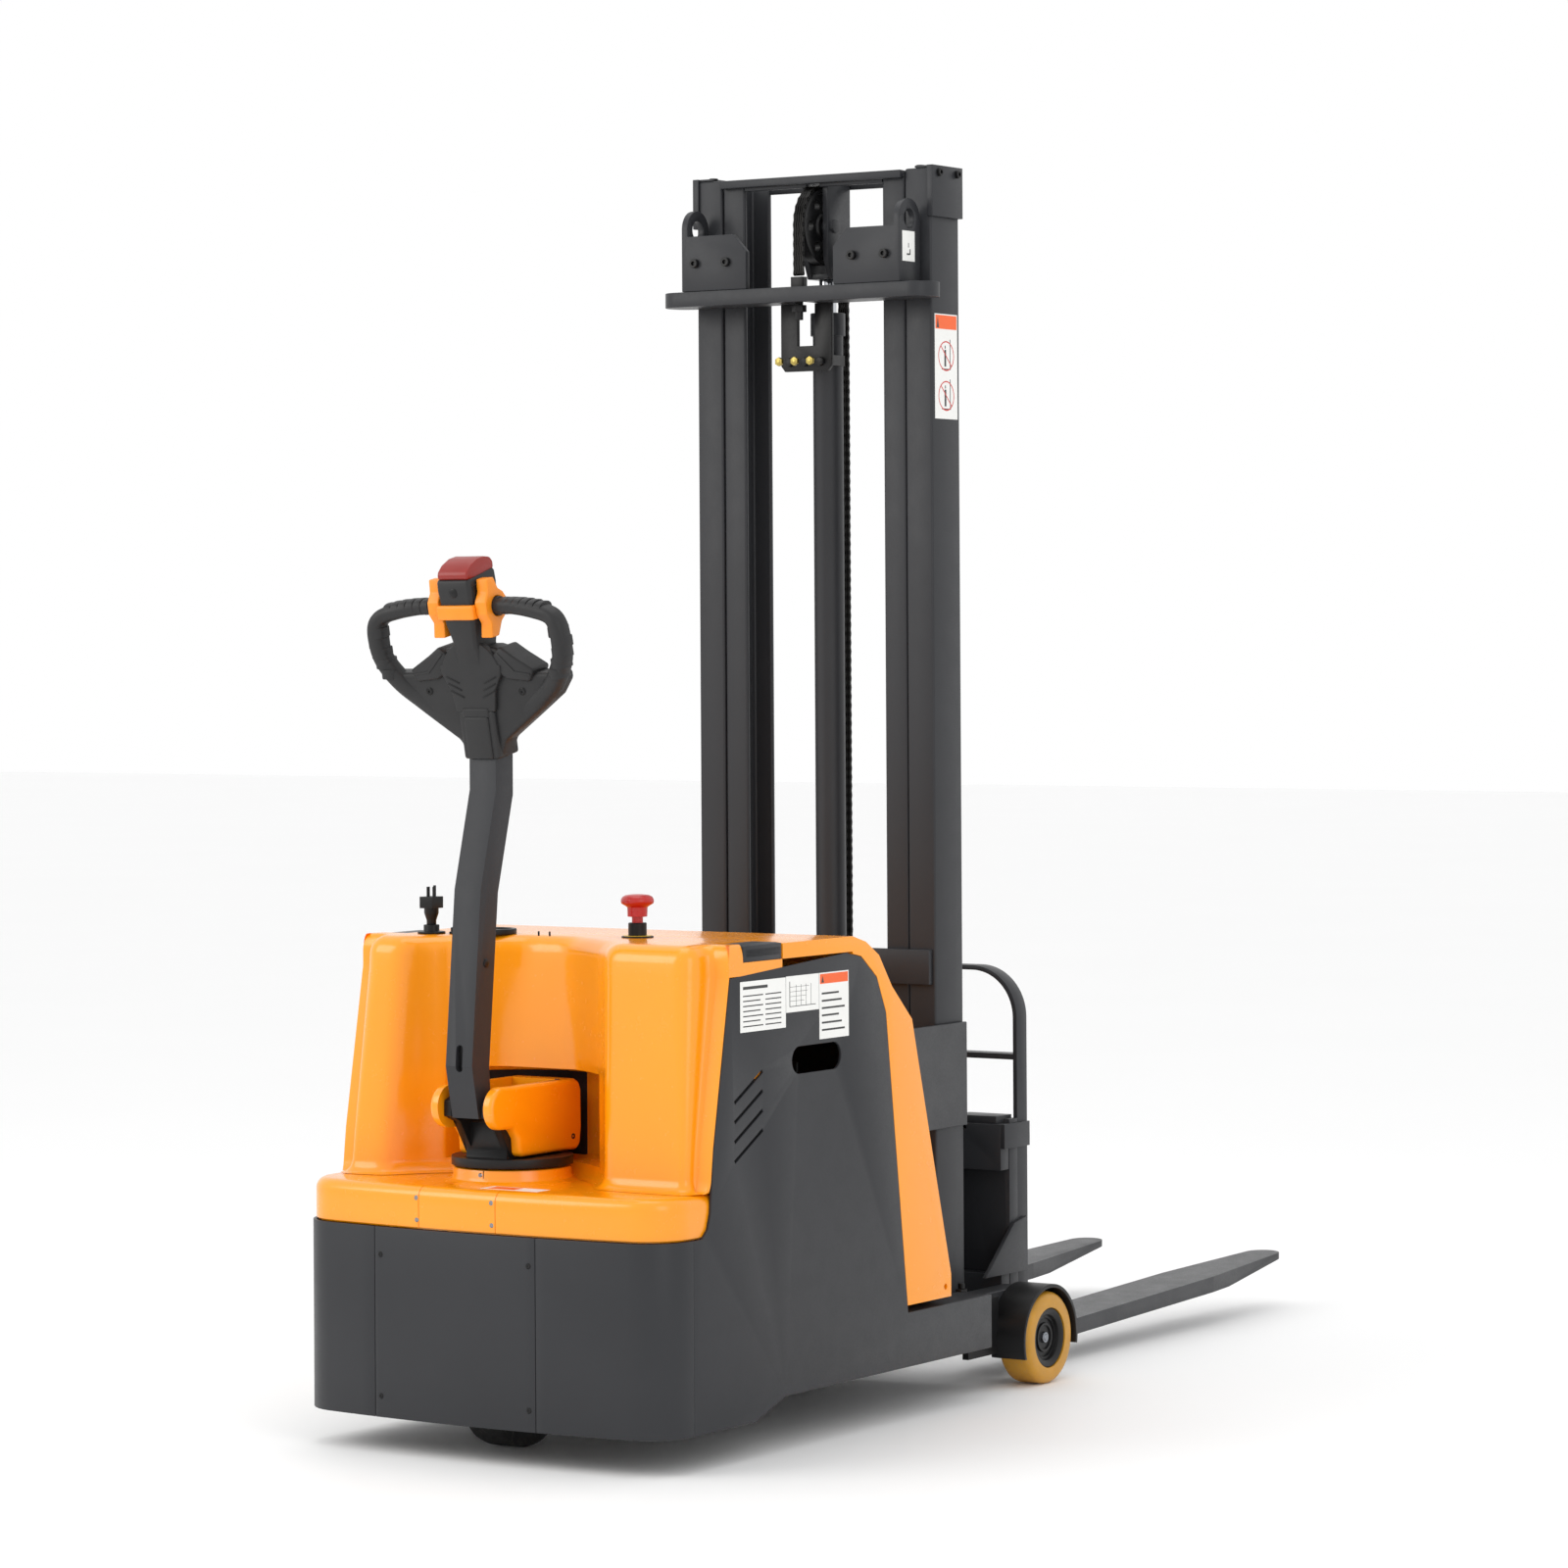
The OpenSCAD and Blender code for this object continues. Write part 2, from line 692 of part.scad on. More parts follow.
module key_switch() {
    color(black) {
        difference() {
            union() {
                along_z(key_x, key_y, [hood_top, hood_top + 4], 13.5);
                along_z(key_x, key_y, [hood_top + 4, hood_top + 11], 11);
            }
            along_z(key_x, key_y, [hood_top + 3, hood_top + 12], 8);
        }
        for (y = [36, 58]) along_z(-890, y, [hood_top, hood_top + 8], 1.6);
    }
}

module key() {
    color(steel) {
        box([key_x - 5, key_x + 5], [key_y - 1, key_y + 1], [hood_top + 3.2, hood_top + 14]);
        box([key_x - 9, key_x + 9], [key_y - 1.3, key_y + 1.3], [hood_top + 13, hood_top + 24]);
    }
}

module charge_gauge() {
    color(black) difference() {
        along_z(gauge_x, gauge_y, [hood_top, hood_top + 9], 42);
        along_z(gauge_x, gauge_y, [hood_top + 6, hood_top + 10], 35);
    }
}

module plug_holder() {
    color(black) difference() {
        union() {
            along_z(plug_x, plug_y, [hood_top, hood_top + 4], 23);
            along_z(plug_x, plug_y, [hood_top + 4, hood_top + 15], 13);
        }
        along_z(plug_x, plug_y, [hood_top + 2, hood_top + 16], 8.3);
    }
}

// Mains plug parked with its prongs upwards
module charger_plug() {
    color(black) {
        along_z(plug_x, plug_y, [hood_top + 2.3, hood_top + 22], 8);
        translate([plug_x, plug_y, hood_top + 22]) cylinder(h = 12, r1 = 8, r2 = 12);
        along_z(plug_x, plug_y, [hood_top + 34, hood_top + 42], 12);
        box([plug_x - 15, plug_x + 15], [plug_y - 13, plug_y + 13], [hood_top + 42, hood_top + 61]);
    }
    color(steel) {
        for (y = [-6, 6]) box([plug_x - 4, plug_x + 3], [plug_y + y - 1, plug_y + y + 1],
            [hood_top + 61, hood_top + 77]);
        along_z(plug_x + 9, plug_y, [hood_top + 61, hood_top + 79], 2.4);
    }
}

// Inner mast channels, nested in the outer ones and open towards each other
module inner_channels() {
    color(charcoal) both_sides() translate([0, 0, inner_bottom])
        linear_extrude(mast_top - 2 - inner_bottom) difference() {
            translate([inner_mid_x - inner_depth / 2, inner_y0]) square([inner_depth, inner_flange]);
            translate([inner_mid_x - inner_depth / 2 + inner_steel, inner_y0 - 1])
                square([inner_depth - 2 * inner_steel, inner_flange + 1 - inner_steel]);
        }
}

module inner_mast_ties() {
    rear_face = inner_mid_x - inner_depth / 2;
    front_face = inner_mid_x + inner_depth / 2;
    color(charcoal) {
        box([rear_face, rear_face + 7], [-inner_y0, inner_y0], [200, 290]);
        difference() {
            for (x = [rear_face, front_face - 7])
                box([x, x + 7], [-inner_y0, inner_y0], [2084, mast_top - 4]);
            box([rear_face - 1, front_face + 1], [-13, 13], [2083, sheave_z + sheave_r + 7]);
        }
        box([rear_face - 12, rear_face], [-inner_y1 + 1, inner_y1 - 1], [mast_top - 16, mast_top - 2]);
        both_sides() for (z = [215, 520])
            along_y(inner_mid_x, z, [inner_y1, outer_y1 - outer_steel - 1], stub_r);
    }
}

module lift_rod() {
    color(steel) {
        along_z(barrel_x, 0, [300, 1925], rod_r);
        along_z(barrel_x, 0, [300, 340], barrel_bore - fit);
    }
}

// Head block on the rod with the sheave's cheek plates and axle
module sheave_crosshead() {
    rear_face = inner_mid_x - inner_depth / 2 + 7.2;
    front_face = inner_mid_x + inner_depth / 2 - 7.2;
    color(charcoal) {
        both_sides() side_plate([[rear_face, 2094], [rear_face, 1960], [barrel_x - 24, 1925],
            [barrel_x + 24, 1925], [front_face, 1960], [front_face, 2094]], [16, 26]);
        box([barrel_x - 24, barrel_x + 24], [-16, 16], [1925, 1934]);
    }
    color(steel) along_y(sheave_x, sheave_z, [-32, 32], 12);
}

module chain_sheave() {
    color(iron) difference() {
        along_y(sheave_x, sheave_z, [-sheave_half_w, sheave_half_w], sheave_r - chain_t / 2);
        along_y(sheave_x, sheave_z, [-sheave_half_w - 1, sheave_half_w + 1], 12 + fit);
        for (i = [0 : 5])
            translate([sheave_x, 0, sheave_z]) rotate([0, 60 * i, 0])
                along_y(40, 0, [-sheave_half_w - 1, sheave_half_w + 1], 10);
    }
    color(black) difference() {
        along_y(sheave_x, sheave_z, [-chain_w / 2, chain_w / 2], sheave_r + chain_t / 2);
        along_y(sheave_x, sheave_z, [-chain_w / 2 - 1, chain_w / 2 + 1], sheave_r - chain_t / 2);
        box([sheave_x - 100, sheave_x + 100], [-20, 20], [sheave_z - 100, sheave_z]);
    }
}

// A pair of rollers on one line, bored for its stub axles
module roller_pair(z, y) {
    color(steel) both_sides() difference() {
        along_y(inner_mid_x, z, y, roller_r);
        along_y(inner_mid_x, z, [y[0] - 1, y[1] + 1], stub_r + stub_fit);
    }
}

module inner_rollers_lower() {
    roller_pair(215, [inner_y1 + 4, outer_y1 - outer_steel - 4]);
}

module inner_rollers_upper() {
    roller_pair(520, [inner_y1 + 4, outer_y1 - outer_steel - 4]);
}

module carriage_rollers_lower() {
    roller_pair(205, [inner_y0 + 3, inner_y1 - inner_steel - 2]);
}

module carriage_rollers_upper() {
    roller_pair(440, [inner_y0 + 3, inner_y1 - inner_steel - 2]);
}

module carriage_frame() {
    color(charcoal) {
        both_sides() {
            side_plate([[inner_mid_x - 30, 165], [bar_x0, 100], [bar_x0, 445], [-30, 486],
                [inner_mid_x - 30, 486]], [plate_y0, plate_y1]);
            for (z = [205, 440])
                along_y(inner_mid_x, z, [plate_y1, inner_y1 - inner_steel - 1], stub_r);
        }
        cross_plate([[-carriage_half, 362], [carriage_half, 362], [carriage_half, 443],
            [180, 443], [180, 432], [168, 432], [168, 443], [-168, 443], [-168, 432],
            [-180, 432], [-180, 443], [-carriage_half, 443]], [bar_x0, bar_x1]);
        box([bar_x0, bar_x1], [-carriage_half, carriage_half], [100, 180]);
        box([-60, bar_x0], [-plate_y0, plate_y0], [330, 345]);
        box([front_strand_x - 12, front_strand_x + 12], [-15, 15], [345, carriage_anchor_z - 1]);
    }
}

// Bent flat-bar load backrest with gussets at its feet
module load_backrest() {
    bar = 8;
    r = 90;
    x = [fork_x1 + 0.5, fork_x1 + 35];
    y = carriage_half;
    color(charcoal) {
        translate([x[0], 0, 0]) rotate([90, 0, 90]) linear_extrude(x[1] - x[0]) {
            for (s = [-1, 1]) {
                translate([s > 0 ? y - bar : -y, 120]) square([bar, backrest_top - r - 120]);
                translate([s * (y - r), backrest_top - r]) intersection() {
                    difference() {
                        circle(r = r);
                        circle(r = r - bar);
                    }
                    translate([s > 0 ? 0 : -r, 0]) square([r, r]);
                }
            }
            translate([-y + r, backrest_top - bar]) square([2 * (y - r), bar]);
            translate([-y + bar, backrest_mid - 5]) square([2 * (y - bar), 10]);
        }
        both_sides() {
            box([bar_x0, x[0] + 30], [y + 0.7, y + bar], [400, 443]);
            box([bar_x0, bar_x1], [y, y + 1], [400, 443]);
            box([x[0] + 2, x[0] + 30], [y, y + 1], [400, 443]);
            side_plate([[-10, 181], [x[0] + 20, 181], [x[0] + 20, 276], [x[0] - 24, 268]],
                [y + 0.7, y + bar]);
            box([x[0] + 2, x[0] + 20], [y, y + 1], [185, 268]);
        }
    }
}

// L-shaped fork: upright shank with a hook, tapered blade with a round tip
module fork(y_mid) {
    blade = tip_x - fork_x0;
    rise = blade * tan(fork_pitch);
    heel = 9;
    heel_top = 65;
    heel_bottom = heel_top - fork_thick;
    half = fork_w / 2;
    taper = 330;
    tip_half = 34;
    color(charcoal) {
        box([fork_x0, fork_x1], [y_mid - half, y_mid + half], [heel_bottom, 450]);
        side_plate([[fork_x1 - 1, heel_top], [fork_x1 + heel, heel_top + (fork_x1 + heel - fork_x0 - 1)
            * rise / (blade - 1)], [fork_x1 - 1, heel_top + heel]], [y_mid - half, y_mid + half]);
        box([bar_x0 + 4, fork_x0], [y_mid - half + 12, y_mid + half - 12], [443.4, 456]);
        box([fork_x0 - 0.1, fork_x1], [y_mid - half + 12, y_mid + half - 12], [440, 456]);
        intersection() {
            side_plate([[fork_x0 + 1, heel_bottom], [tip_x - 260, heel_bottom + rise * 0.72],
                [tip_x, heel_top + rise - 10], [tip_x, heel_top + rise],
                [fork_x0 + 1, heel_top]], [y_mid - half, y_mid + half]);
            linear_extrude(400) union() {
                translate([fork_x0, y_mid - half]) square([blade - taper, fork_w]);
                translate([0, y_mid]) polygon([[tip_x - taper - 1, half], [tip_x - taper - 1, -half],
                    [tip_x - tip_half, -tip_half], [tip_x - tip_half, tip_half]]);
                translate([tip_x - tip_half, y_mid]) circle(r = tip_half);
            }
        }
    }
}

module fork_right() {
    fork(-fork_spread / 2);
}

module fork_left() {
    fork(fork_spread / 2);
}

module load_tyre() {
    hub_r = 54;
    color(ochre) translate([load_x, load_y1, load_wheel_r]) rotate([90, 0, 0])
        rotate_extrude() polygon([[hub_r, 0], [load_wheel_r - 8, 0], [load_wheel_r, 8],
            [load_wheel_r, load_wheel_w - 8], [load_wheel_r - 8, load_wheel_w],
            [hub_r, load_wheel_w]]);
}

module load_hub() {
    hub_r = 54;
    color(black) difference() {
        along_y(load_x, load_wheel_r, [load_y0 + 4, load_y1 - 4], hub_r);
        along_y(load_x, load_wheel_r, [load_y1 - 16, load_y1], 40);
        along_y(load_x, load_wheel_r, [load_y0, load_y1], load_axle_r + fit);
    }
}

module load_tyre_left() {
    load_tyre();
}

module load_hub_left() {
    load_hub();
}

module load_tyre_right() {
    mirror([0, 1, 0]) load_tyre();
}

module load_hub_right() {
    mirror([0, 1, 0]) load_hub();
}

// Gearbox leg, axle and upright traction motor that steer with the tiller
module drive_unit() {
    half = drive_wheel_w / 2;
    color(iron) {
        along_y(axis_x, drive_wheel_r, [axis_y + half + 4, axis_y + half + 40], 72);
        box([axis_x - 60, axis_x + 60], [axis_y + half + 4, axis_y + half + 40], [drive_wheel_r, 240]);
        box([axis_x - 90, axis_x + 90], [axis_y - half, axis_y + half + 40], [220, 240]);
        along_y(axis_x, drive_wheel_r, [axis_y - half + 4, axis_y + half + 4], 14);
        along_z(axis_x, axis_y, [240, 340], 72);
        along_z(axis_x, axis_y, [340, ledge_top + 25], column_r);
    }
}

module drive_wheel() {
    half = drive_wheel_w / 2;
    color(black) difference() {
        along_y(axis_x, drive_wheel_r, [axis_y - half, axis_y + half], drive_wheel_r);
        along_y(axis_x, drive_wheel_r, [axis_y - half + 3, axis_y + half + 1], 14 + fit);
    }
}

// Turntable ring and the clevis that carries the tiller
module tiller_base() {
    z0 = ledge_top + 25;
    color(black) {
        along_z(axis_x, axis_y, [z0, z0 + 14], 98);
        difference() {
            union() {
                box([axis_x - 70, axis_x + 60], [axis_y - 40, axis_y + 40], [z0 + 14, z0 + 70]);
                for (y = [-44, 30]) translate([0, axis_y + y, 0])
                    side_plate([[axis_x - 60, z0 + 14], [axis_x + 40, z0 + 14],
                        [axis_x + 40, tiller_pivot_z + 14], [pivot_x + 6, tiller_pivot_z + 20],
                        [pivot_x - 18, tiller_pivot_z + 10], [pivot_x - 18, tiller_pivot_z - 14],
                        [pivot_x + 6, tiller_pivot_z - 24]], [0, 14]);
            }
            along_y(pivot_x, tiller_pivot_z, [axis_y - 60, axis_y + 60], pin_r + fit);
        }
    }
}

// Moulded cheeks over the clevis
module tiller_base_cover() {
    z0 = ledge_top + 42;
    z1 = tiller_pivot_z + 34;
    nose_r = 34;
    color(amber) for (s = [-1, 1]) difference() {
        union() {
            box([pivot_x, axis_x + 108],
                s > 0 ? [axis_y + 45, axis_y + cheek_y] : [axis_y - cheek_y, axis_y - 45], [z0, z1]);
            along_y(pivot_x, tiller_pivot_z,
                s > 0 ? [axis_y + 45, axis_y + cheek_y] : [axis_y - cheek_y, axis_y - 45], nose_r);
        }
        box([pivot_x - 40, axis_x - 60], [axis_y - 70, axis_y + 70], [z0 - 30, z0 + 24]);
    }
    color(amber) box([axis_x + 62, axis_x + 108], [axis_y - 45, axis_y + 45], [z0, z1]);
}

// Box-section tiller arm with its S-bend, fork end and pivot pin
module tiller_arm() {
    h = arm_d / 2;
    color(charcoal) {
        side_plate([[pivot_x + arm_foot - h, 620], [pivot_x + arm_lean - h, arm_bend_z],
            [pivot_x + arm_shift - h, arm_knee_z], [pivot_x + arm_shift - h, arm_top_z],
            [pivot_x + arm_shift + h, arm_top_z], [pivot_x + arm_shift + h, arm_knee_z - 8],
            [pivot_x + arm_lean + h, arm_bend_z - 6], [pivot_x + arm_foot + h, 620]],
            [axis_y - arm_w / 2, axis_y + arm_w / 2]);
        side_plate([[pivot_x - 20, tiller_pivot_z - 16], [pivot_x + 14, tiller_pivot_z - 20],
            [pivot_x + arm_foot + h, 621], [pivot_x + arm_foot - h, 621]],
            [axis_y - 26, axis_y + 26]);
    }
    color(steel) along_y(pivot_x, tiller_pivot_z, [axis_y - 43.5, axis_y + 43.5], pin_r);
}

module in_head() {
    translate([head_x, axis_y, head_foot_z]) rotate([0, -head_lean, 0]) children();
}

// Handle with two finger loops on a central grip housing
module tiller_head() {
    half = handle_w / 2;
    outer = [[34, -18], [47, 15], [153, 76], [178, 106], [half - 4, 150], [half, 185],
        [half - 3, 212], [half - 14, 226], [150, 237], [82, 243], [32, 244]];
    loop = [[60, 206], [54, 182], [60, 160], [112, 128], [133, 138], [150, 182], [148, 194],
        [100, 204]];
    color(black) in_head() {
        difference() {
            translate([-24, 0, 0]) rotate([90, 0, 90]) linear_extrude(46)
                polygon(concat(outer, [for (i = [len(outer) - 1 : -1 : 0]) [-outer[i][0], outer[i][1]]]));
            for (s = [-1, 1]) translate([-30, 0, 0]) rotate([90, 0, 90])
                linear_extrude(60) polygon([for (p = loop) [s * p[0], p[1]]]);
            translate([-arm_d / 2 - 6, -arm_w / 2 - 0.2, -60])
                cube([arm_d + 12, arm_w + 0.4, 60 + arm_top_z - head_foot_z + 12]);
            both_sides() box([-60, 60], [lever_v[0] - 2, lever_v[1] + 2], [176, 290]);
        }
        both_sides() along_y(grip_u, grip_w, [30, lever_v[1] + 4], grip_hub_r);
        difference() {
            box([-46, 30], [-32, 32], [60, 272]);
            box([-37, 21], [-27, 27], [254, 273]);
            box([-47, -38], [-15, 15], [180, 212]);
            along_x(0, 236, [-47, -34], 9.3);
        }
    }
}

// Butterfly thumb levers around the inner ends of the grips
module throttle_levers() {
    wing = [[-26, -47], [-6, -47], [6, -26], [24, -14], [28, 6], [18, 20], [6, 28], [-2, 47],
        [-20, 47], [-22, 26], [-32, 12], [-32, -8], [-22, -24]];
    color(amber) in_head() both_sides() translate([grip_u, 0, grip_w]) difference() {
        side_plate(wing, lever_v);
        along_y(0, 0, [lever_v[0] - 1, lever_v[1] + 1], grip_hub_r + fit);
    }
}

module belly_button() {
    color(red) in_head() {
        box([-36.6, 20.6], [-26.6, 26.6], [262, 281]);
        side_plate([[-46, 280], [-46, 287], [-30, 300], [8, 307], [28, 300], [28, 280]], [-30, 30]);
    }
}

module horn_button() {
    color(amber) in_head() along_x(0, 236, [-49, -40], 9);
}

module lift_rocker() {
    color(amber) in_head() {
        box([-48, -42], [-14, 14], [181.5, 210.5]);
        along_y(-42, 196, [-14, 14], 2.5);
    }
}

chassis_frame();
side_panel_right();
side_panel_left();
rear_corners();
rear_access_panel();
hood();
bumper_ledge();
ledge_centre_cover();
front_cover();
counterweight();
battery();
hydraulic_pump_unit();
power_electronics();
hydraulic_pipe();
mast_channels();
mast_cross_ties();
lifting_brackets();
mast_caps();
mast_stays();
fasteners();
cylinder_barrel();
cylinder_clamp();
chain_rear_strand();
wheel_brackets();
label_plates();
estop_base();
key_switch();
charge_gauge();
plug_holder();
inner_channels();
inner_mast_ties();
lift_rod();
sheave_crosshead();
chain_front_strand();
chain_sheave();
inner_rollers_lower();
inner_rollers_upper();
carriage_rollers_lower();
carriage_rollers_upper();
carriage_frame();
load_backrest();
fork_right();
fork_left();
load_tyre_right();
load_hub_right();
load_tyre_left();
load_hub_left();
drive_unit();
drive_wheel();
tiller_base();
tiller_base_cover();
tiller_arm();
tiller_head();
throttle_levers();
belly_button();
horn_button();
lift_rocker();
estop_button();
key();
charger_plug();
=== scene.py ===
"""Walkie stacker: bodywork, mast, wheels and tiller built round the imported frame."""
import json
import math

import bpy
import bmesh
from mathutils import Matrix, Vector
from mathutils.kdtree import KDTree


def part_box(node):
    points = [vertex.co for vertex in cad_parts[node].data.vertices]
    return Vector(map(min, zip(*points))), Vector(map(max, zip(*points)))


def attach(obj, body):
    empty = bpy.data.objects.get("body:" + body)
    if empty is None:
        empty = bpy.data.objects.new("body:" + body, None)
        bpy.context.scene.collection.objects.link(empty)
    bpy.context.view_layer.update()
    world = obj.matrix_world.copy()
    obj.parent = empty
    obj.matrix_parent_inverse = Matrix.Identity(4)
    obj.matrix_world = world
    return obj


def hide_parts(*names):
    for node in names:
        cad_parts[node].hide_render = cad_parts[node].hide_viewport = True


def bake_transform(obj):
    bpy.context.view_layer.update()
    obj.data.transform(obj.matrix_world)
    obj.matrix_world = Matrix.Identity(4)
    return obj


bl_info = {
    "name": "Walkie stacker",
    "version": (1, 0, 0),
    "blender": (4, 5, 0),
    "location": "View3D > Sidebar > Stacker",
    "description": "Builds the visible pieces of a walkie stacker round its frame",
    "category": "Object",
}

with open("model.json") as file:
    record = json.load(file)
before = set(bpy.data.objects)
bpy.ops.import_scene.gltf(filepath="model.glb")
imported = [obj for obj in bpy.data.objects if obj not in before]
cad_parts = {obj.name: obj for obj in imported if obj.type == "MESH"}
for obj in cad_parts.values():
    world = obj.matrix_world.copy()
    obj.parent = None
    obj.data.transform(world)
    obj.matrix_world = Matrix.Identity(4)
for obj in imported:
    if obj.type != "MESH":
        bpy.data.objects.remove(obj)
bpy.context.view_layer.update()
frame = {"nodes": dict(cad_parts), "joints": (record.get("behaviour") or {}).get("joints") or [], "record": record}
NODES = frame["nodes"]
MM = 0.001

# Places shared by several pieces, in millimetres, read from the frame
LOW, HIGH = {}, {}
for node_name in NODES:
    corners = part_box(node_name)
    LOW[node_name] = Vector(corners[0]) / MM
    HIGH[node_name] = Vector(corners[1]) / MM
JOINTS = {joint["name"]: joint for joint in frame["joints"]}
STEER = Vector(JOINTS["steer"]["pos_m"]) / MM
PIVOT = Vector(JOINTS["tiller_tilt"]["pos_m"]) / MM
SHEAVE = Vector(JOINTS["sheave_spin"]["pos_m"]) / MM
LEAN = math.atan2(JOINTS["belly_press"]["axis"][0], -JOINTS["belly_press"]["axis"][2])
SIDE = HIGH["side_panel_left"].y
LEDGE_TOP = HIGH["bumper_ledge"].z
HOOD_TOP = HIGH["hood"].z


class StackerSizes(bpy.types.PropertyGroup):
    """Sizes that shape the visible pieces."""
    hood_round: bpy.props.FloatProperty(
        name="Hood rounding", description="Radius of the hood's upper edge",
        default=0.028, min=0.01, max=0.04, subtype="DISTANCE", unit="LENGTH")
    hood_draft: bpy.props.FloatProperty(
        name="Hood draft", description="How far the hood's back wall leans in at the top",
        default=0.031, min=0.0, max=0.05, subtype="DISTANCE", unit="LENGTH")
    ledge_round: bpy.props.FloatProperty(
        name="Ledge rounding", description="Radius of the ledge's upper edge",
        default=0.018, min=0.005, max=0.03, subtype="DISTANCE", unit="LENGTH")
    steel_edge: bpy.props.FloatProperty(
        name="Steel edge", description="Rounding of the painted steel edges",
        default=0.0015, min=0.0003, max=0.004, subtype="DISTANCE", unit="LENGTH")
    grip_edge: bpy.props.FloatProperty(
        name="Handle rounding", description="Rounding of the handle's loops",
        default=0.011, min=0.004, max=0.014, subtype="DISTANCE", unit="LENGTH")
    chain_pitch: bpy.props.FloatProperty(
        name="Chain pitch", description="Distance from pin to pin of the lift chain",
        default=0.015875, min=0.012, max=0.02, subtype="DISTANCE", unit="LENGTH")


def colour_property(name, description, default):
    return bpy.props.StringProperty(name=name, description=description, default=default)


class StackerColours(bpy.types.PropertyGroup):
    """Colours of the finishes, as sRGB hex."""
    charcoal: colour_property("Charcoal", "Powder coat of the steelwork", "#2E2F32")
    amber: colour_property("Amber", "Moulded covers", "#FB9A06")
    amber_switch: colour_property("Amber switch", "Thumb levers of the handle", "#F28C0F")
    red: colour_property("Red", "Emergency stop", "#B5140F")
    belly: colour_property("Belly red", "Safety button on the handle", "#8A1E16")
    black: colour_property("Black", "Handle and small mouldings", "#242425")
    tyre: colour_property("Tyre", "Cast polyurethane of the load wheels", "#C08A22")


def linear(colour):
    """sRGB hex to linear RGBA."""
    parts = [int(colour[i:i + 2], 16) / 255 for i in (1, 3, 5)]
    return [c / 12.92 if c <= 0.04045 else ((c + 0.055) / 1.055) ** 2.4 for c in parts] + [1.0]


def add_node(tree, kind, inputs=(), **settings):
    """Adds a node, sets it up, and links or fills its inputs."""
    node = tree.nodes.new(kind)
    for key, value in settings.items():
        setattr(node, key, value)
    for key, value in dict(inputs).items():
        if isinstance(value, bpy.types.NodeSocket):
            tree.links.new(value, node.inputs[key])
        else:
            node.inputs[key].default_value = value
    return node


FINISHES = {}


def new_finish(name):
    material = bpy.data.materials.new(name)
    material.use_nodes = True
    tree = material.node_tree
    tree.nodes.clear()
    shader = add_node(tree, "ShaderNodeBsdfPrincipled")
    add_node(tree, "ShaderNodeOutputMaterial", {"Surface": shader.outputs[0]})
    place = add_node(tree, "ShaderNodeTexCoord").outputs["Object"]
    FINISHES[name] = material
    return material, tree, shader, place


def noise(tree, place, size_mm, detail=2.0, rough=0.5, stretch=(1, 1, 1)):
    """Noise whose lumps measure about size_mm, stretched along the axes."""
    scaled = add_node(tree, "ShaderNodeMapping", {"Vector": place, "Scale": stretch})
    return add_node(tree, "ShaderNodeTexNoise", {
        "Vector": scaled.outputs[0], "Scale": 1000 / size_mm, "Detail": detail,
        "Roughness": rough}).outputs["Fac"]


def spread(tree, value, low, high, from_low=0.3, from_high=0.7):
    return add_node(tree, "ShaderNodeMapRange", {
        "Value": value, "From Min": from_low, "From Max": from_high,
        "To Min": low, "To Max": high}).outputs[0]


def coated(name, colour, tone=0.05, tone_mm=180, rough=(0.3, 0.4), grain_mm=2.5, bump_mm=0.03,
           metallic=0.0, coat=0.0, coat_rough=0.1, stretch=(1, 1, 1), ior=1.5, dust=0.0):
    """A finish with a slow drift of tone, uneven gloss and a fine relief."""
    material, tree, shader, place = new_finish(name)
    base = linear(colour)
    drift = noise(tree, place, tone_mm, 3.0)
    dark = [c * (1 - tone) for c in base[:3]] + [1.0]
    light = [min(1.0, c * (1 + tone)) for c in base[:3]] + [1.0]
    mixed = add_node(tree, "ShaderNodeMix", {"Factor": spread(tree, drift, 0, 1)}, data_type="RGBA")
    mixed.inputs[6].default_value = dark
    mixed.inputs[7].default_value = light
    result = mixed.outputs[2]
    if dust:
        specks = spread(tree, noise(tree, place, 6, 4.0, 0.7), 0, dust, 0.55, 0.75)
        dusty = add_node(tree, "ShaderNodeMix", {"Factor": specks}, data_type="RGBA")
        tree.links.new(result, dusty.inputs[6])
        dusty.inputs[7].default_value = linear("#8A8680")
        result = dusty.outputs[2]
    tree.links.new(result, shader.inputs["Base Color"])
    grain = noise(tree, place, grain_mm, 2.0, 0.5, stretch)
    patches = noise(tree, place, 40, 3.0, 0.6)
    gloss = add_node(tree, "ShaderNodeMath", {0: grain, 1: patches}, operation="ADD").outputs[0]
    tree.links.new(spread(tree, gloss, rough[0], rough[1], 0.7, 1.3), shader.inputs["Roughness"])
    relief = add_node(tree, "ShaderNodeBump", {
        "Height": grain, "Distance": bump_mm * MM, "Strength": 1.0})
    tree.links.new(relief.outputs[0], shader.inputs["Normal"])
    shader.inputs["Metallic"].default_value = metallic
    if not metallic:
        shader.inputs["IOR"].default_value = ior
    shader.inputs["Coat Weight"].default_value = coat
    shader.inputs["Coat Roughness"].default_value = coat_rough
    return material


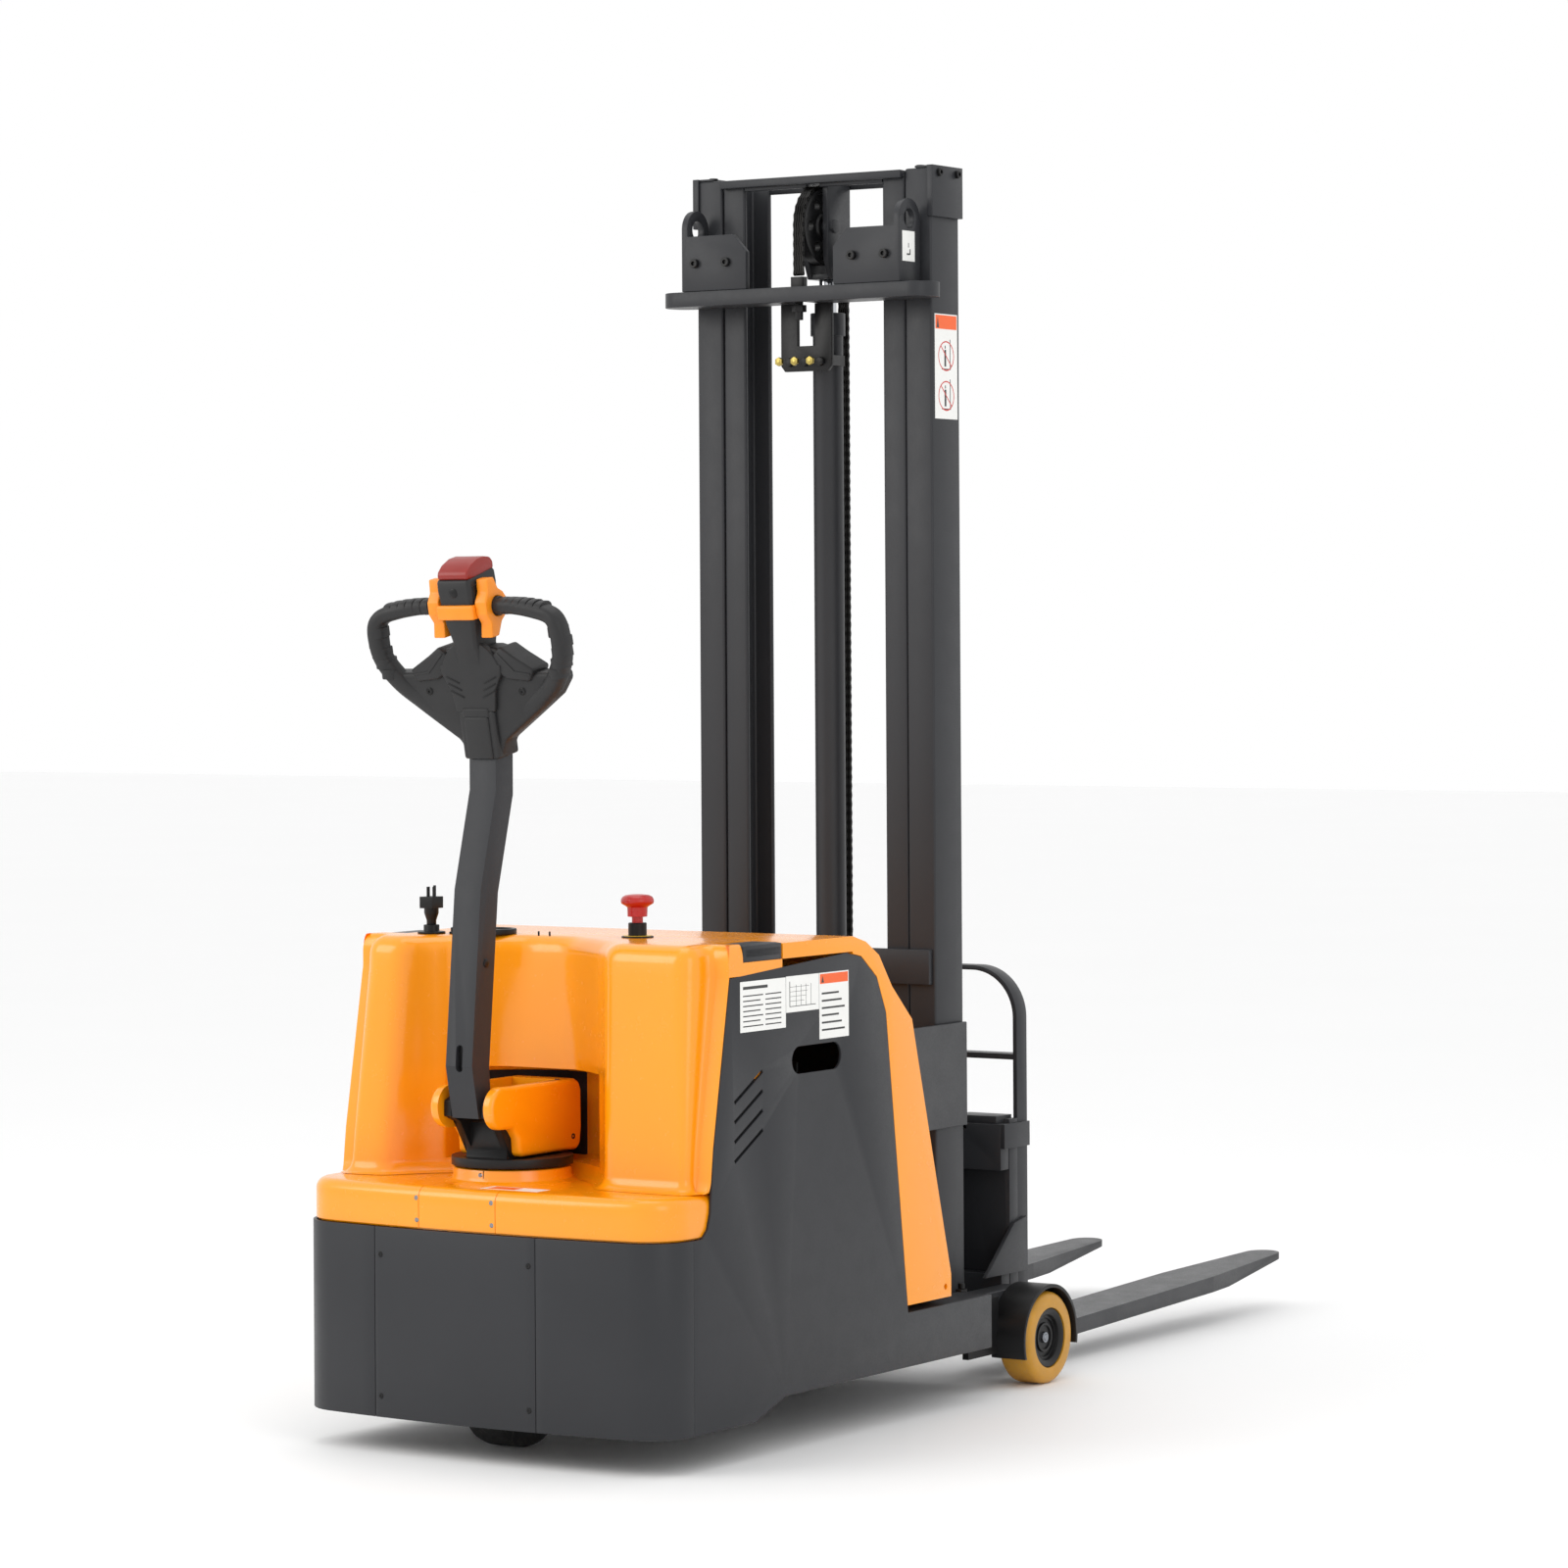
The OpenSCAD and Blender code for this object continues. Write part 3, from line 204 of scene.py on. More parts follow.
def make_finishes(c):
    # Satin powder coat: an even charcoal with a faint orange peel, drawn coarse enough to show
    coated("satin_powder_coat", c.charcoal, 0.06, 220, (0.36, 0.46), 3.0, 0.02, ior=1.36)
    # Vacuum-formed ABS with a polished face: saturated colour under a clear, soft reflection
    coated("polished_abs", c.amber, 0.03, 300, (0.22, 0.28), 9.0, 0.012, coat=0.35, coat_rough=0.12)
    # Injection-moulded switch plastic: slightly duller than the covers
    coated("moulded_switch", c.amber_switch, 0.04, 60, (0.33, 0.42), 1.6, 0.02)
    coated("moulded_red", c.red, 0.04, 40, (0.25, 0.34), 2.0, 0.012, coat=0.2)
    coated("moulded_belly_red", c.belly, 0.05, 30, (0.34, 0.42), 1.6, 0.02)
    # Textured polyamide of the handle: spark-eroded grain that breaks the highlight
    coated("grained_polyamide", c.black, 0.08, 50, (0.45, 0.56), 1.3, 0.05, ior=1.4)
    # Moulded small fittings: darker and smoother
    coated("black_fitting", "#101011", 0.08, 25, (0.32, 0.45), 1.5, 0.02, ior=1.36)
    # Satin black paint over steel
    coated("black_paint", "#151516", 0.08, 90, (0.34, 0.46), 2.5, 0.03, ior=1.36)
    # Painted shade: a near-black finish standing in for the unlit inside of the bodywork
    coated("inner_shade", "#070707", 0.1, 40, (0.7, 0.85), 4.0, 0.05)
    # Oiled roller chain: dark steel with a wet sheen
    coated("oiled_chain_steel", "#1C1B1A", 0.2, 12, (0.28, 0.5), 1.5, 0.03, metallic=0.8)
    # Turned and ground steel: fine rings read as a stretched grain
    coated("ground_steel", "#8C9096", 0.06, 20, (0.22, 0.36), 0.9, 0.01, metallic=1.0,
           stretch=(1, 0.08, 1))
    # Hard chrome of the lift rod: nearly a mirror
    coated("hard_chrome", "#C4C6CA", 0.02, 80, (0.06, 0.12), 1.0, 0.002, metallic=1.0)
    # Yellow chromate over zinc
    coated("yellow_zinc", "#B3A05A", 0.15, 8, (0.26, 0.4), 1.0, 0.01, metallic=1.0)
    # Sand-cast iron: rough skin
    coated("sand_cast_iron", "#454544", 0.15, 30, (0.6, 0.78), 2.2, 0.25, metallic=0.6)
    # Ribbed polypropylene battery case
    coated("battery_polypropylene", "#262628", 0.08, 60, (0.4, 0.55), 2.0, 0.03)
    # Cast polyurethane tread: waxy, with scuffs that catch dust
    coated("cast_polyurethane", c.tyre, 0.08, 35, (0.34, 0.5), 2.0, 0.05, dust=0.25)
    # Vulcanised rubber of the drive tyre
    coated("vulcanised_rubber", "#161616", 0.1, 30, (0.6, 0.75), 2.0, 0.1, dust=0.3)
    # Printed vinyl film: white, with coloured inks
    for ink, colour in (("white", "#EDEDEA"), ("orange", "#F0611C"), ("ink", "#2A2A2A"),
                        ("red", "#C9302A"), ("yellow", "#F2C417")):
        coated("vinyl_" + ink, colour, 0.02, 60, (0.3, 0.4), 3.0, 0.004)
    # Pale painted studio floor
    coated("studio_floor", "#FAFAFA", 0.004, 900, (0.6, 0.7), 20.0, 0.01)


def only(*objects):
    """Selects these objects alone, the first one active."""
    bpy.ops.object.select_all(action="DESELECT")
    for obj in objects:
        obj.select_set(True)
    bpy.context.view_layer.objects.active = objects[0]


def primitive(kind, name, **settings):
    bpy.ops.object.select_all(action="DESELECT")
    getattr(bpy.ops.mesh, "primitive_%s_add" % kind)(**settings)
    obj = bpy.context.object
    obj.name = name
    return obj


def apply_place(obj):
    only(obj)
    bpy.ops.object.transform_apply(location=True, rotation=True, scale=True)
    return obj


def block(name, x, y, z):
    """A box between two limits along each axis."""
    sides = (x, y, z)
    obj = primitive("cube", name, size=1,
                    location=[sum(s) / 2 * MM for s in sides],
                    scale=[(s[1] - s[0]) * MM for s in sides])
    return apply_place(obj)


def rod(name, start, end, radius, sides=32, end_radius=None):
    """A round bar between two points."""
    a, b = Vector(start) * MM, Vector(end) * MM
    turn = (b - a).to_track_quat("Z", "Y").to_euler()
    tip = radius if end_radius is None else end_radius
    obj = primitive("cone", name, vertices=sides, radius1=radius * MM, radius2=tip * MM,
                    depth=(b - a).length, location=(a + b) / 2, rotation=turn)
    return apply_place(obj)


def plate(name, outline, plane, span):
    """A plate whose outline lies in a plane, filling span along the third axis."""
    axis = {"yz": 0, "xz": 1, "xy": 2}[plane]
    obj = primitive("circle", name, vertices=len(outline), fill_type="NGON")
    for vert, point in zip(obj.data.vertices, outline):
        place = list(point)
        place.insert(axis, span[0])
        vert.co = [c * MM for c in place]
    move = [0, 0, 0]
    move[axis] = (span[1] - span[0]) * MM
    bpy.ops.object.mode_set(mode="EDIT")
    bpy.ops.mesh.select_all(action="SELECT")
    bpy.ops.mesh.extrude_region_move(TRANSFORM_OT_translate={"value": move})
    return outwards(obj)


def outwards(obj):
    """Merges doubles and turns every face outwards, from edit mode or object mode."""
    if bpy.context.mode != "OBJECT":
        bpy.ops.object.mode_set(mode="OBJECT")
    only(obj)
    bpy.ops.object.mode_set(mode="EDIT")
    bpy.ops.mesh.select_all(action="SELECT")
    bpy.ops.mesh.remove_doubles(threshold=1e-6)
    bpy.ops.mesh.normals_make_consistent(inside=False)
    bpy.ops.object.mode_set(mode="OBJECT")
    return obj


def loft(name, rings):
    """A closed skin through rings of points, extruded from one ring to the next."""
    obj = primitive("circle", name, vertices=len(rings[0]), fill_type="NGON")
    for vert, point in zip(obj.data.vertices, rings[0]):
        vert.co = Vector(point) * MM
    bpy.ops.object.mode_set(mode="EDIT")
    bpy.ops.mesh.select_all(action="SELECT")
    for last, ring in zip(rings, rings[1:]):
        near = KDTree(len(last))
        for index, point in enumerate(last):
            near.insert(Vector(point) * MM, index)
        near.balance()
        bpy.ops.mesh.extrude_region_move()
        mesh = bmesh.from_edit_mesh(obj.data)
        for vert in [v for v in mesh.verts if v.select]:
            vert.co = Vector(ring[near.find(vert.co)[1]]) * MM
        bmesh.update_edit_mesh(obj.data)
    return outwards(obj)


def turned(name, profile, centre, axis, steps=48):
    """A shape turned from a closed profile of (radius, distance along the axis)."""
    obj = primitive("circle", name, vertices=len(profile), fill_type="NOTHING")
    along = Vector(axis)
    out = Vector((0, 0, 1)) if abs(along.z) < 0.5 else Vector((1, 0, 0))
    for vert, (radius, distance) in zip(obj.data.vertices, profile):
        vert.co = (Vector(centre) + out * radius + along * distance) * MM
    bpy.ops.object.mode_set(mode="EDIT")
    bpy.ops.mesh.select_all(action="SELECT")
    bpy.ops.mesh.spin(steps=steps, angle=2 * math.pi, center=Vector(centre) * MM, axis=axis)
    return outwards(obj)


def apply_modifier(obj, kind, **settings):
    only(obj)
    modifier = obj.modifiers.new(kind.lower(), kind)
    for key, value in settings.items():
        setattr(modifier, key, value)
    bpy.ops.object.modifier_apply(modifier=modifier.name)
    return obj


def rounded(obj, width, segments=3, angle=40):
    """Rounds the edges sharper than the angle; width in millimetres."""
    return apply_modifier(obj, "BEVEL", width=width * MM, segments=segments,
                          limit_method="ANGLE", angle_limit=math.radians(angle))


def carved(obj, *cutters):
    """Cuts the cutters' shapes out of the object."""
    for cutter in cutters:
        apply_modifier(obj, "BOOLEAN", operation="DIFFERENCE", object=cutter, solver="EXACT")
        bpy.data.objects.remove(cutter)
    return obj


def joined(name, objects):
    objects = list(objects)
    only(*objects)
    if len(objects) > 1:
        bpy.ops.object.join()
    objects[0].name = name
    return objects[0]


def duplicate(obj, name, matrix):
    """A copy with its own mesh, moved by a matrix whose lengths are metres."""
    copy = bpy.data.objects.new(name, obj.data.copy())
    bpy.context.scene.collection.objects.link(copy)
    copy.data.transform(matrix)
    if matrix.determinant() < 0:
        outwards(copy)
    return copy


def shift(x=0, y=0, z=0):
    return Matrix.Translation(Vector((x, y, z)) * MM)


def paint(obj, finish):
    obj.data.materials.clear()
    obj.data.materials.append(FINISHES[finish])
    return obj


def settle(obj, body, slot, *nodes, finish=None, smooth=35):
    """Finishes a piece: its place in its mesh, smooth shading, finish and body; the slot is not used."""
    apply_place(obj)
    bpy.ops.object.shade_smooth_by_angle(angle=math.radians(smooth))
    if finish:
        paint(obj, finish)
    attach(obj, body)
    if nodes:
        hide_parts(*nodes)
    return obj


def node_copy(node, name=None):
    """A clean copy of a frame solid: doubles merged and flat faces joined up."""
    obj = bpy.data.objects.new(name or node + "_shell", NODES[node].data.copy())
    bpy.context.scene.collection.objects.link(obj)
    obj.data.materials.clear()
    only(obj)
    bpy.ops.object.mode_set(mode="EDIT")
    bpy.ops.mesh.select_all(action="SELECT")
    bpy.ops.mesh.remove_doubles(threshold=2e-6)
    bpy.ops.mesh.dissolve_limited(angle_limit=math.radians(0.4))
    bpy.ops.object.mode_set(mode="OBJECT")
    return obj


def node_body(node):
    bodies = frame["record"]["behaviour"]["bodies"]
    return next(body for body, members in bodies.items() if node in members)


def node_slot(node):
    return next(s["material_slot"] for s in frame["record"]["subparts"] if s["node"] == node)


def soften(node, width, finish, segments=2, angle=40, name=None):
    """Stands a round-edged copy in for a frame solid."""
    obj = rounded(node_copy(node, name), width, segments, angle)
    return settle(obj, node_body(node), node_slot(node), node, finish=finish)


def arc(centre, radius, start, stop, steps):
    """Points of an arc, angles in degrees."""
    return [(centre[0] + radius * math.cos(math.radians(start + (stop - start) * i / steps)),
             centre[1] + radius * math.sin(math.radians(start + (stop - start) * i / steps)))
            for i in range(steps + 1)]


def steps_between(value, table):
    """Linear reading of a table of (place, value)."""
    for (a, fa), (b, fb) in zip(table, table[1:]):
        if value <= b:
            return fa + (fb - fa) * max(0.0, value - a) / (b - a)
    return table[-1][1]


def inset_outline(points, distance):
    """Moves an outline given in plan to its inside by a distance."""
    if not distance:
        return [tuple(p) for p in points]
    result = []
    for i, point in enumerate(points):
        before, after = Vector(points[max(0, i - 1)]), Vector(points[min(len(points) - 1, i + 1)])
        tangent = (after - before).normalized()
        result.append((point[0] - tangent.y * distance, point[1] + tangent.x * distance))
    return result


# Distance either side of the tiller's plane, and how far the hood's back wall lies ahead
# of the steering axis there, at the foot and at the top of the recess
SCOOP_FOOT = [(0, 80), (67, 80), (90, 68), (120, 50), (150, 27), (180, 0), (205, -40),
              (240, -105), (300, -250), (500, -700)]
SCOOP_HEAD = [(0, 96), (38, 96), (60, 84), (110, 54), (150, 27), (180, 0), (205, -40),
              (240, -105), (300, -250), (500, -700)]
POCKET_R = 155
POCKET_LOW, POCKET_HIGH = 453, 600
SCOOP_SIDES = [0, 17, 34, 50, 67, 84, 100, 115, 128, 138, 145, 150, 153, 154.5, 158, 165, 175,
               186, 196, 206, 216, 226, 236, 246, 256, 266, 276, 290, 305, 318, 331]
# Half the width within which the back wall has points that follow the recess
BLOCK_HALF = 294
HOOD_SIDES = sorted({STEER.y + s * off for off in SCOOP_SIDES for s in (-1, 1)
                     if abs(STEER.y + s * off) < BLOCK_HALF}, reverse=True)
# Height above which the hood is as wide as the side panels
SHOULDER = 764
# The camera's place in metres and its turn in degrees
CAMERA_PLACE = (-7.5045, -4.751, 1.3)
CAMERA_YAW, CAMERA_ROLL = -56.8, -0.34


def panel_edge(z):
    """Rear edge of the steel side panel at a height."""
    return steps_between(z, [(430, -1017.5), (490, -1011.5), (763, -961.5)])


def back_wall(y, z, plain):
    """X of the hood's back wall, from its plain X, the recess and the tiller's pocket."""
    off = abs(y - STEER.y)
    t = min(1.0, max(0.0, (z - POCKET_HIGH) / 190))
    dish = steps_between(off, SCOOP_FOOT) * (1 - t) + steps_between(off, SCOOP_HEAD) * t
    if off < POCKET_R:
        depth = math.sqrt(POCKET_R ** 2 - off ** 2)
        share = steps_between(z, [(POCKET_LOW, 0), (POCKET_LOW + 1, 0.9), (POCKET_LOW + 5, 1),
                                  (POCKET_HIGH - 9, 1), (POCKET_HIGH - 3, 0.93),
                                  (POCKET_HIGH, 0.6), (POCKET_HIGH + 2, 0)])
        dish += max(0.0, depth - dish) * share
    dish += STEER.x
    soft = 24
    return 0.5 * (plain + dish + math.sqrt((plain - dish) ** 2 + soft ** 2))


def hood_ring(z, inset, draft):
    """The hood's outline at a height, closed across its front."""
    back, front = LOW["hood"].x, HIGH["hood"].x
    share = (z - LEDGE_TOP) / (HOOD_TOP - LEDGE_TOP)
    block, outer, inner = SIDE - 30 - draft * 0.3 * share, SIDE - 1, SIDE - 6.5
    edge = panel_edge(z)
    rim, rear = edge - 3, back + draft * share
    step = rim - rear
    corner, fillet = 0.66 * step, 0.26 * step
    beside = outer if z > SHOULDER else inner
    half = [(front, beside), (-880, beside), (edge + 0.7, beside), (edge - 0.4, outer)]
    half += arc((rim + 2.4, outer - 2.4), 2.4, 90, 180, 4)
    half += arc((rim - fillet, block + fillet), fillet, 0, -90, 6)
    half += arc((rear + corner, block - corner), corner, 90, 180, 10)
    flat = half + [(rear, y) for y in HOOD_SIDES] + [(x, -y) for x, y in reversed(half)]
    flat = [(back_wall(y, z, x), y) if abs(y) <= block else (x, y) for x, y in flat]
    ring = []
    for index, (plain, moved) in enumerate(zip(flat, inset_outline(flat, inset))):
        place = min(index, len(flat) - 1 - index)
        near = Vector((plain[0] + (0.5 * inset if place > 3 else 0),
                       plain[1] - math.copysign(0.3 * inset, plain[1])))
        x, y = near.lerp(Vector(moved), min(1.0, max(0.0, (place - 8) / 8)))
        limit = outer if x < edge or z > SHOULDER else inner
        ring.append((front if place == 0 else x, max(-limit, min(limit, y)), z))
    return ring


def bow_outline(inset, x_end):
    """Plan of the bowed rear end, as on the skirt."""
    back = LOW["rear_access_panel"].x
    bow, corner = 2500, 80
    centre_x = back + bow - math.sqrt((bow - corner) ** 2 - (SIDE - corner) ** 2)
    tilt = math.degrees(math.asin((SIDE - corner) / (bow - corner)))
    half = arc((centre_x, SIDE - corner), corner - inset, 90, 180 - tilt, 12)
    half += arc((back + bow, 0), bow - inset, 180 - tilt, 180, 10)[1:]
    points = [(x_end, SIDE - inset)] + half
    return points + [(x, -y) for x, y in reversed(points[:-1])]


class StackerStep(bpy.types.Operator):
    """Base of the building steps."""
    bl_options = {"REGISTER", "UNDO"}

    def execute(self, context):
        self.build(context.scene.stacker_sizes)
        return {"FINISHED"}


class STACKER_OT_steelwork(StackerStep):
    """Round-edged powder-coated panels, mast, brackets, carriage and forks"""
    bl_idname = "stacker.steelwork"
    bl_label = "Painted steelwork"

    def build(self, sizes):
        edge = sizes.steel_edge / MM
        for node in ("side_panel_right", "side_panel_left", "rear_access_panel", "rear_corners"):
            soften(node, edge * 0.6, "satin_powder_coat")
        for node in ("mast_channels", "inner_channels"):
            soften(node, edge * 2.6, "satin_powder_coat", 3)
        for node in ("mast_cross_ties", "mast_stays", "inner_mast_ties", "sheave_crosshead",
                     "lifting_brackets", "mast_caps", "carriage_frame", "load_backrest"):
            soften(node, edge, "satin_powder_coat")
        for node in ("fork_right", "fork_left"):
            soften(node, edge * 1.6, "satin_powder_coat")
        soften("wheel_brackets", edge, "black_paint")
        soften("chassis_frame", edge, "satin_powder_coat")


class STACKER_OT_hood(StackerStep):
    """Moulded hood with its tiller recess, a near-black sheet of painted shade in the pocket, and steel corner
    pieces
    """
    bl_idname = "stacker.hood"
    bl_label = "Hood"

    def build(self, sizes):
        draft, top_r = sizes.hood_draft / MM, sizes.hood_round / MM
        foot = LEDGE_TOP + 0.5
        levels = [(foot, -18), (foot + 1.5, -11.5), (foot + 4, -7.5), (foot + 9, -3.5),
                  (foot + 15, -1), (foot + 20, 0)]
        levels += [(POCKET_LOW, 0), (POCKET_LOW + 1, 0), (POCKET_LOW + 5, 0), (500, 0), (550, 0),
                   (POCKET_HIGH - 9, 0), (POCKET_HIGH - 3, 0), (POCKET_HIGH, 0),
                   (POCKET_HIGH + 2, 0), (640, 0), (680, 0), (720, 0), (762, 0), (765, 0)]
        for i in range(8):
            turn = math.radians(90 * i / 7)
            levels.append((HOOD_TOP - top_r * (1 - math.sin(turn)), top_r * (1 - math.cos(turn))))
        hood = loft("hood_moulding", [hood_ring(z, inset, draft) for z, inset in levels])
        corner = [LOW["front_cover"].x - 114, LOW["front_cover"].x + 1]
        for side in (-1, 1):
            span = sorted((side * (SIDE - 63), side * (SIDE + 4)))
            carved(hood, block("corner_cut", corner, span, [786, HOOD_TOP + 10]))
        settle(hood, "chassis", "amber_cover", "hood", finish="polished_abs", smooth=40)
        for side, label in ((-1, "right"), (1, "left")):
            span = sorted((side * (SIDE - 61), side * (SIDE - 1)))
            piece = block("hood_corner_" + label, [corner[0] + 1.5, corner[1] - 2], span,
                          [787, HOOD_TOP - 2])
            settle(rounded(piece, 7, 4), "chassis", "frame_paint", finish="satin_powder_coat")
        # Painted shade: a near-black curved sheet set in the tiller's pocket, standing in for its unlit inside
        shade_arc = [(POCKET_R - 2, a) for a in range(-14, 66, 4)]
        inner = [(POCKET_R + 1, a) for a in range(64, -18, -4)]
        outline = [(STEER.x + r * math.cos(math.radians(a)), STEER.y + r * math.sin(math.radians(a)))
                   for r, a in shade_arc + inner]
        settle(plate("pocket_painted_shade", outline, "xy", [POCKET_LOW + 4, POCKET_HIGH - 8]),
               "chassis", "black_plastic", finish="inner_shade")
        # Painted shade: thin near-black sheets just inside the side panels behind the louvres, standing in for the
        # unlit space there
        louvre_x, louvre_z = [-968, -846], [440, 600]
        painted_shade_sheets = [block("shade", louvre_x, sorted((side * (SIDE - 5.2), side * (SIDE - 6.2))), louvre_z)
                  for side in (-1, 1)]
        settle(joined("louvre_painted_shade", painted_shade_sheets), "chassis", "black_plastic", finish="inner_shade")


class STACKER_OT_ledge(StackerStep):
    """Ledge behind the hood with its centre cover, boss, seams and screws"""
    bl_idname = "stacker.ledge"
    bl_label = "Ledge"

    def build(self, sizes):
        edge = sizes.ledge_round / MM
        gap = 5.2
        levels = [(LOW["bumper_ledge"].z, gap + 3), (LOW["bumper_ledge"].z + 3, gap), (400, gap)]
        for i in range(7):
            turn = math.radians(90 * i / 6)
            levels.append((LEDGE_TOP - edge * (1 - math.sin(turn)), gap + edge * (1 - math.cos(turn))))
        x_end = STEER.x + 60
        ledge = loft("ledge_moulding", [[(x, y, z) for x, y in bow_outline(inset, x_end)]
                                        for z, inset in levels])
        left, right = 102, -50
        cuts = [block("seam", [LOW["bumper_ledge"].x - 5, STEER.x - 90], [y - 0.6, y + 0.6],
                      [LOW["bumper_ledge"].z - 5, LEDGE_TOP + 5]) for y in (left, right)]
        core = loft("seam_core", [[(x, y, z) for x, y in bow_outline(inset, x_end)]
                                  for z, inset in [(LOW["bumper_ledge"].z - 9, gap + 2.5),
                                                   (400, gap + 1.6), (LEDGE_TOP - 9, gap + 4),
                                                   (LEDGE_TOP - 1.6, gap + 17)]])
        for cut in cuts:
            apply_modifier(cut, "BOOLEAN", operation="DIFFERENCE", object=core, solver="EXACT")
        bpy.data.objects.remove(core)
        carved(ledge, *cuts)
        settle(ledge, "chassis", "amber_cover", "bumper_ledge", finish="polished_abs")
        top = HIGH["ledge_centre_cover"].z
        profile = [(30, LEDGE_TOP - 8), (112, LEDGE_TOP - 8), (112, LEDGE_TOP + 0.2),
                   (103, LEDGE_TOP + 1.2), (98, LEDGE_TOP + 4), (95.6, LEDGE_TOP + 9),
                   (95, top - 3), (94, top - 1), (92, top), (30, top)]
        boss = turned("ledge_boss", profile, (STEER.x, STEER.y, 0), (0, 0, 1), 72)
        settle(boss, "chassis", "amber_cover", "ledge_centre_cover", finish="polished_abs")
        seam = rod("boss_seam", (STEER.x - 94.7, STEER.y - 12, LEDGE_TOP + 3),
                   (STEER.x - 94.4, STEER.y - 12, top - 1), 0.7, 8)
        settle(rounded(seam, 0.2, 1), "chassis", "black_plastic", finish="black_fitting")
        screws = []
        for y, z in ((left + 5, 412), (left + 4, 377), (right + 8, 412), (right + 7, 377)):
            x = LOW["bumper_ledge"].x + y * y / 5000 - 1.4
            head = turned("screw", [(0.9, 0), (3, 0), (4.4, 1.6), (4.4, 3), (0.9, 3)],
                          (x, y, z), (1, 0, 0), 16)
            screws.append(head)
        screws.append(turned("screw", [(0.9, 0), (3, 0), (4.2, 1.6), (4.2, 3), (0.9, 3)],
                             (STEER.x - 96, STEER.y - 6, top - 8), (1, 0, 0), 16))
        settle(joined("ledge_screws", screws), "chassis", "bright_steel", finish="ground_steel")


class STACKER_OT_front_cover(StackerStep):
    """Sloping front cover with its wings beside the mast"""
    bl_idname = "stacker.front_cover"
    bl_label = "Front cover"

    def build(self, sizes):
        cover = rounded(node_copy("front_cover", "front_cover_moulding"), 9, 5, 28)
        settle(cover, "chassis", "amber_cover", "front_cover", finish="polished_abs")


class STACKER_OT_controls(StackerStep):
    """Emergency stop, key switch, charge gauge and parked charger plug"""
    bl_idname = "stacker.controls"
    bl_label = "Hood controls"

    def build(self, sizes):
        x = (LOW["estop_button"].x + HIGH["estop_button"].x) / 2
        y = (LOW["estop_button"].y + HIGH["estop_button"].y) / 2
        button = turned("estop_mushroom", [
            (0.5, HOOD_TOP + 11), (9, HOOD_TOP + 11), (9, HOOD_TOP + 33), (16, HOOD_TOP + 34),
            (16.6, HOOD_TOP + 49), (20, HOOD_TOP + 51.5), (26, HOOD_TOP + 55),
            (27, HOOD_TOP + 58.5), (26.6, HOOD_TOP + 62), (24, HOOD_TOP + 66),
            (19, HOOD_TOP + 68.6), (10, HOOD_TOP + 69.8), (0.5, HOOD_TOP + 70)],
            (x, y, 0), (0, 0, 1), 48)
        settle(button, "estop_button", "red_plastic", "estop_button", finish="moulded_red", smooth=50)
        base = turned("estop_collar", [(9.4, HOOD_TOP + 1), (26, HOOD_TOP + 0.1), (26, HOOD_TOP + 2),
                      (24.5, HOOD_TOP + 2.6), (15, HOOD_TOP + 2.6), (15, HOOD_TOP + 23),
                      (14, HOOD_TOP + 24), (9.4, HOOD_TOP + 24)], (x, y, 0), (0, 0, 1), 48)
        settle(base, "chassis", "black_plastic", "estop_base", finish="black_fitting")
        ring = turned("estop_ring", [(15.2, HOOD_TOP + 2.5), (22.5, HOOD_TOP + 2.5),
                      (22.5, HOOD_TOP + 3.2), (15.2, HOOD_TOP + 3.2)], (x, y, 0), (0, 0, 1), 48)
        settle(ring, "chassis", "label_white", finish="vinyl_yellow")
        for node, width in (("charge_gauge", 1.6), ("key_switch", 1.2), ("plug_holder", 1.4),
                            ("charger_plug", 1.6)):
            soften(node, width, "black_fitting", 3)
        soften("key", 0.3, "ground_steel")


def printed(name, finish, x, y, z, thick=0.04):
    """A printed patch on the right-hand side, just proud of the film."""
    return paint(block(name, x, [y - thick, y + 0.05], z), finish)


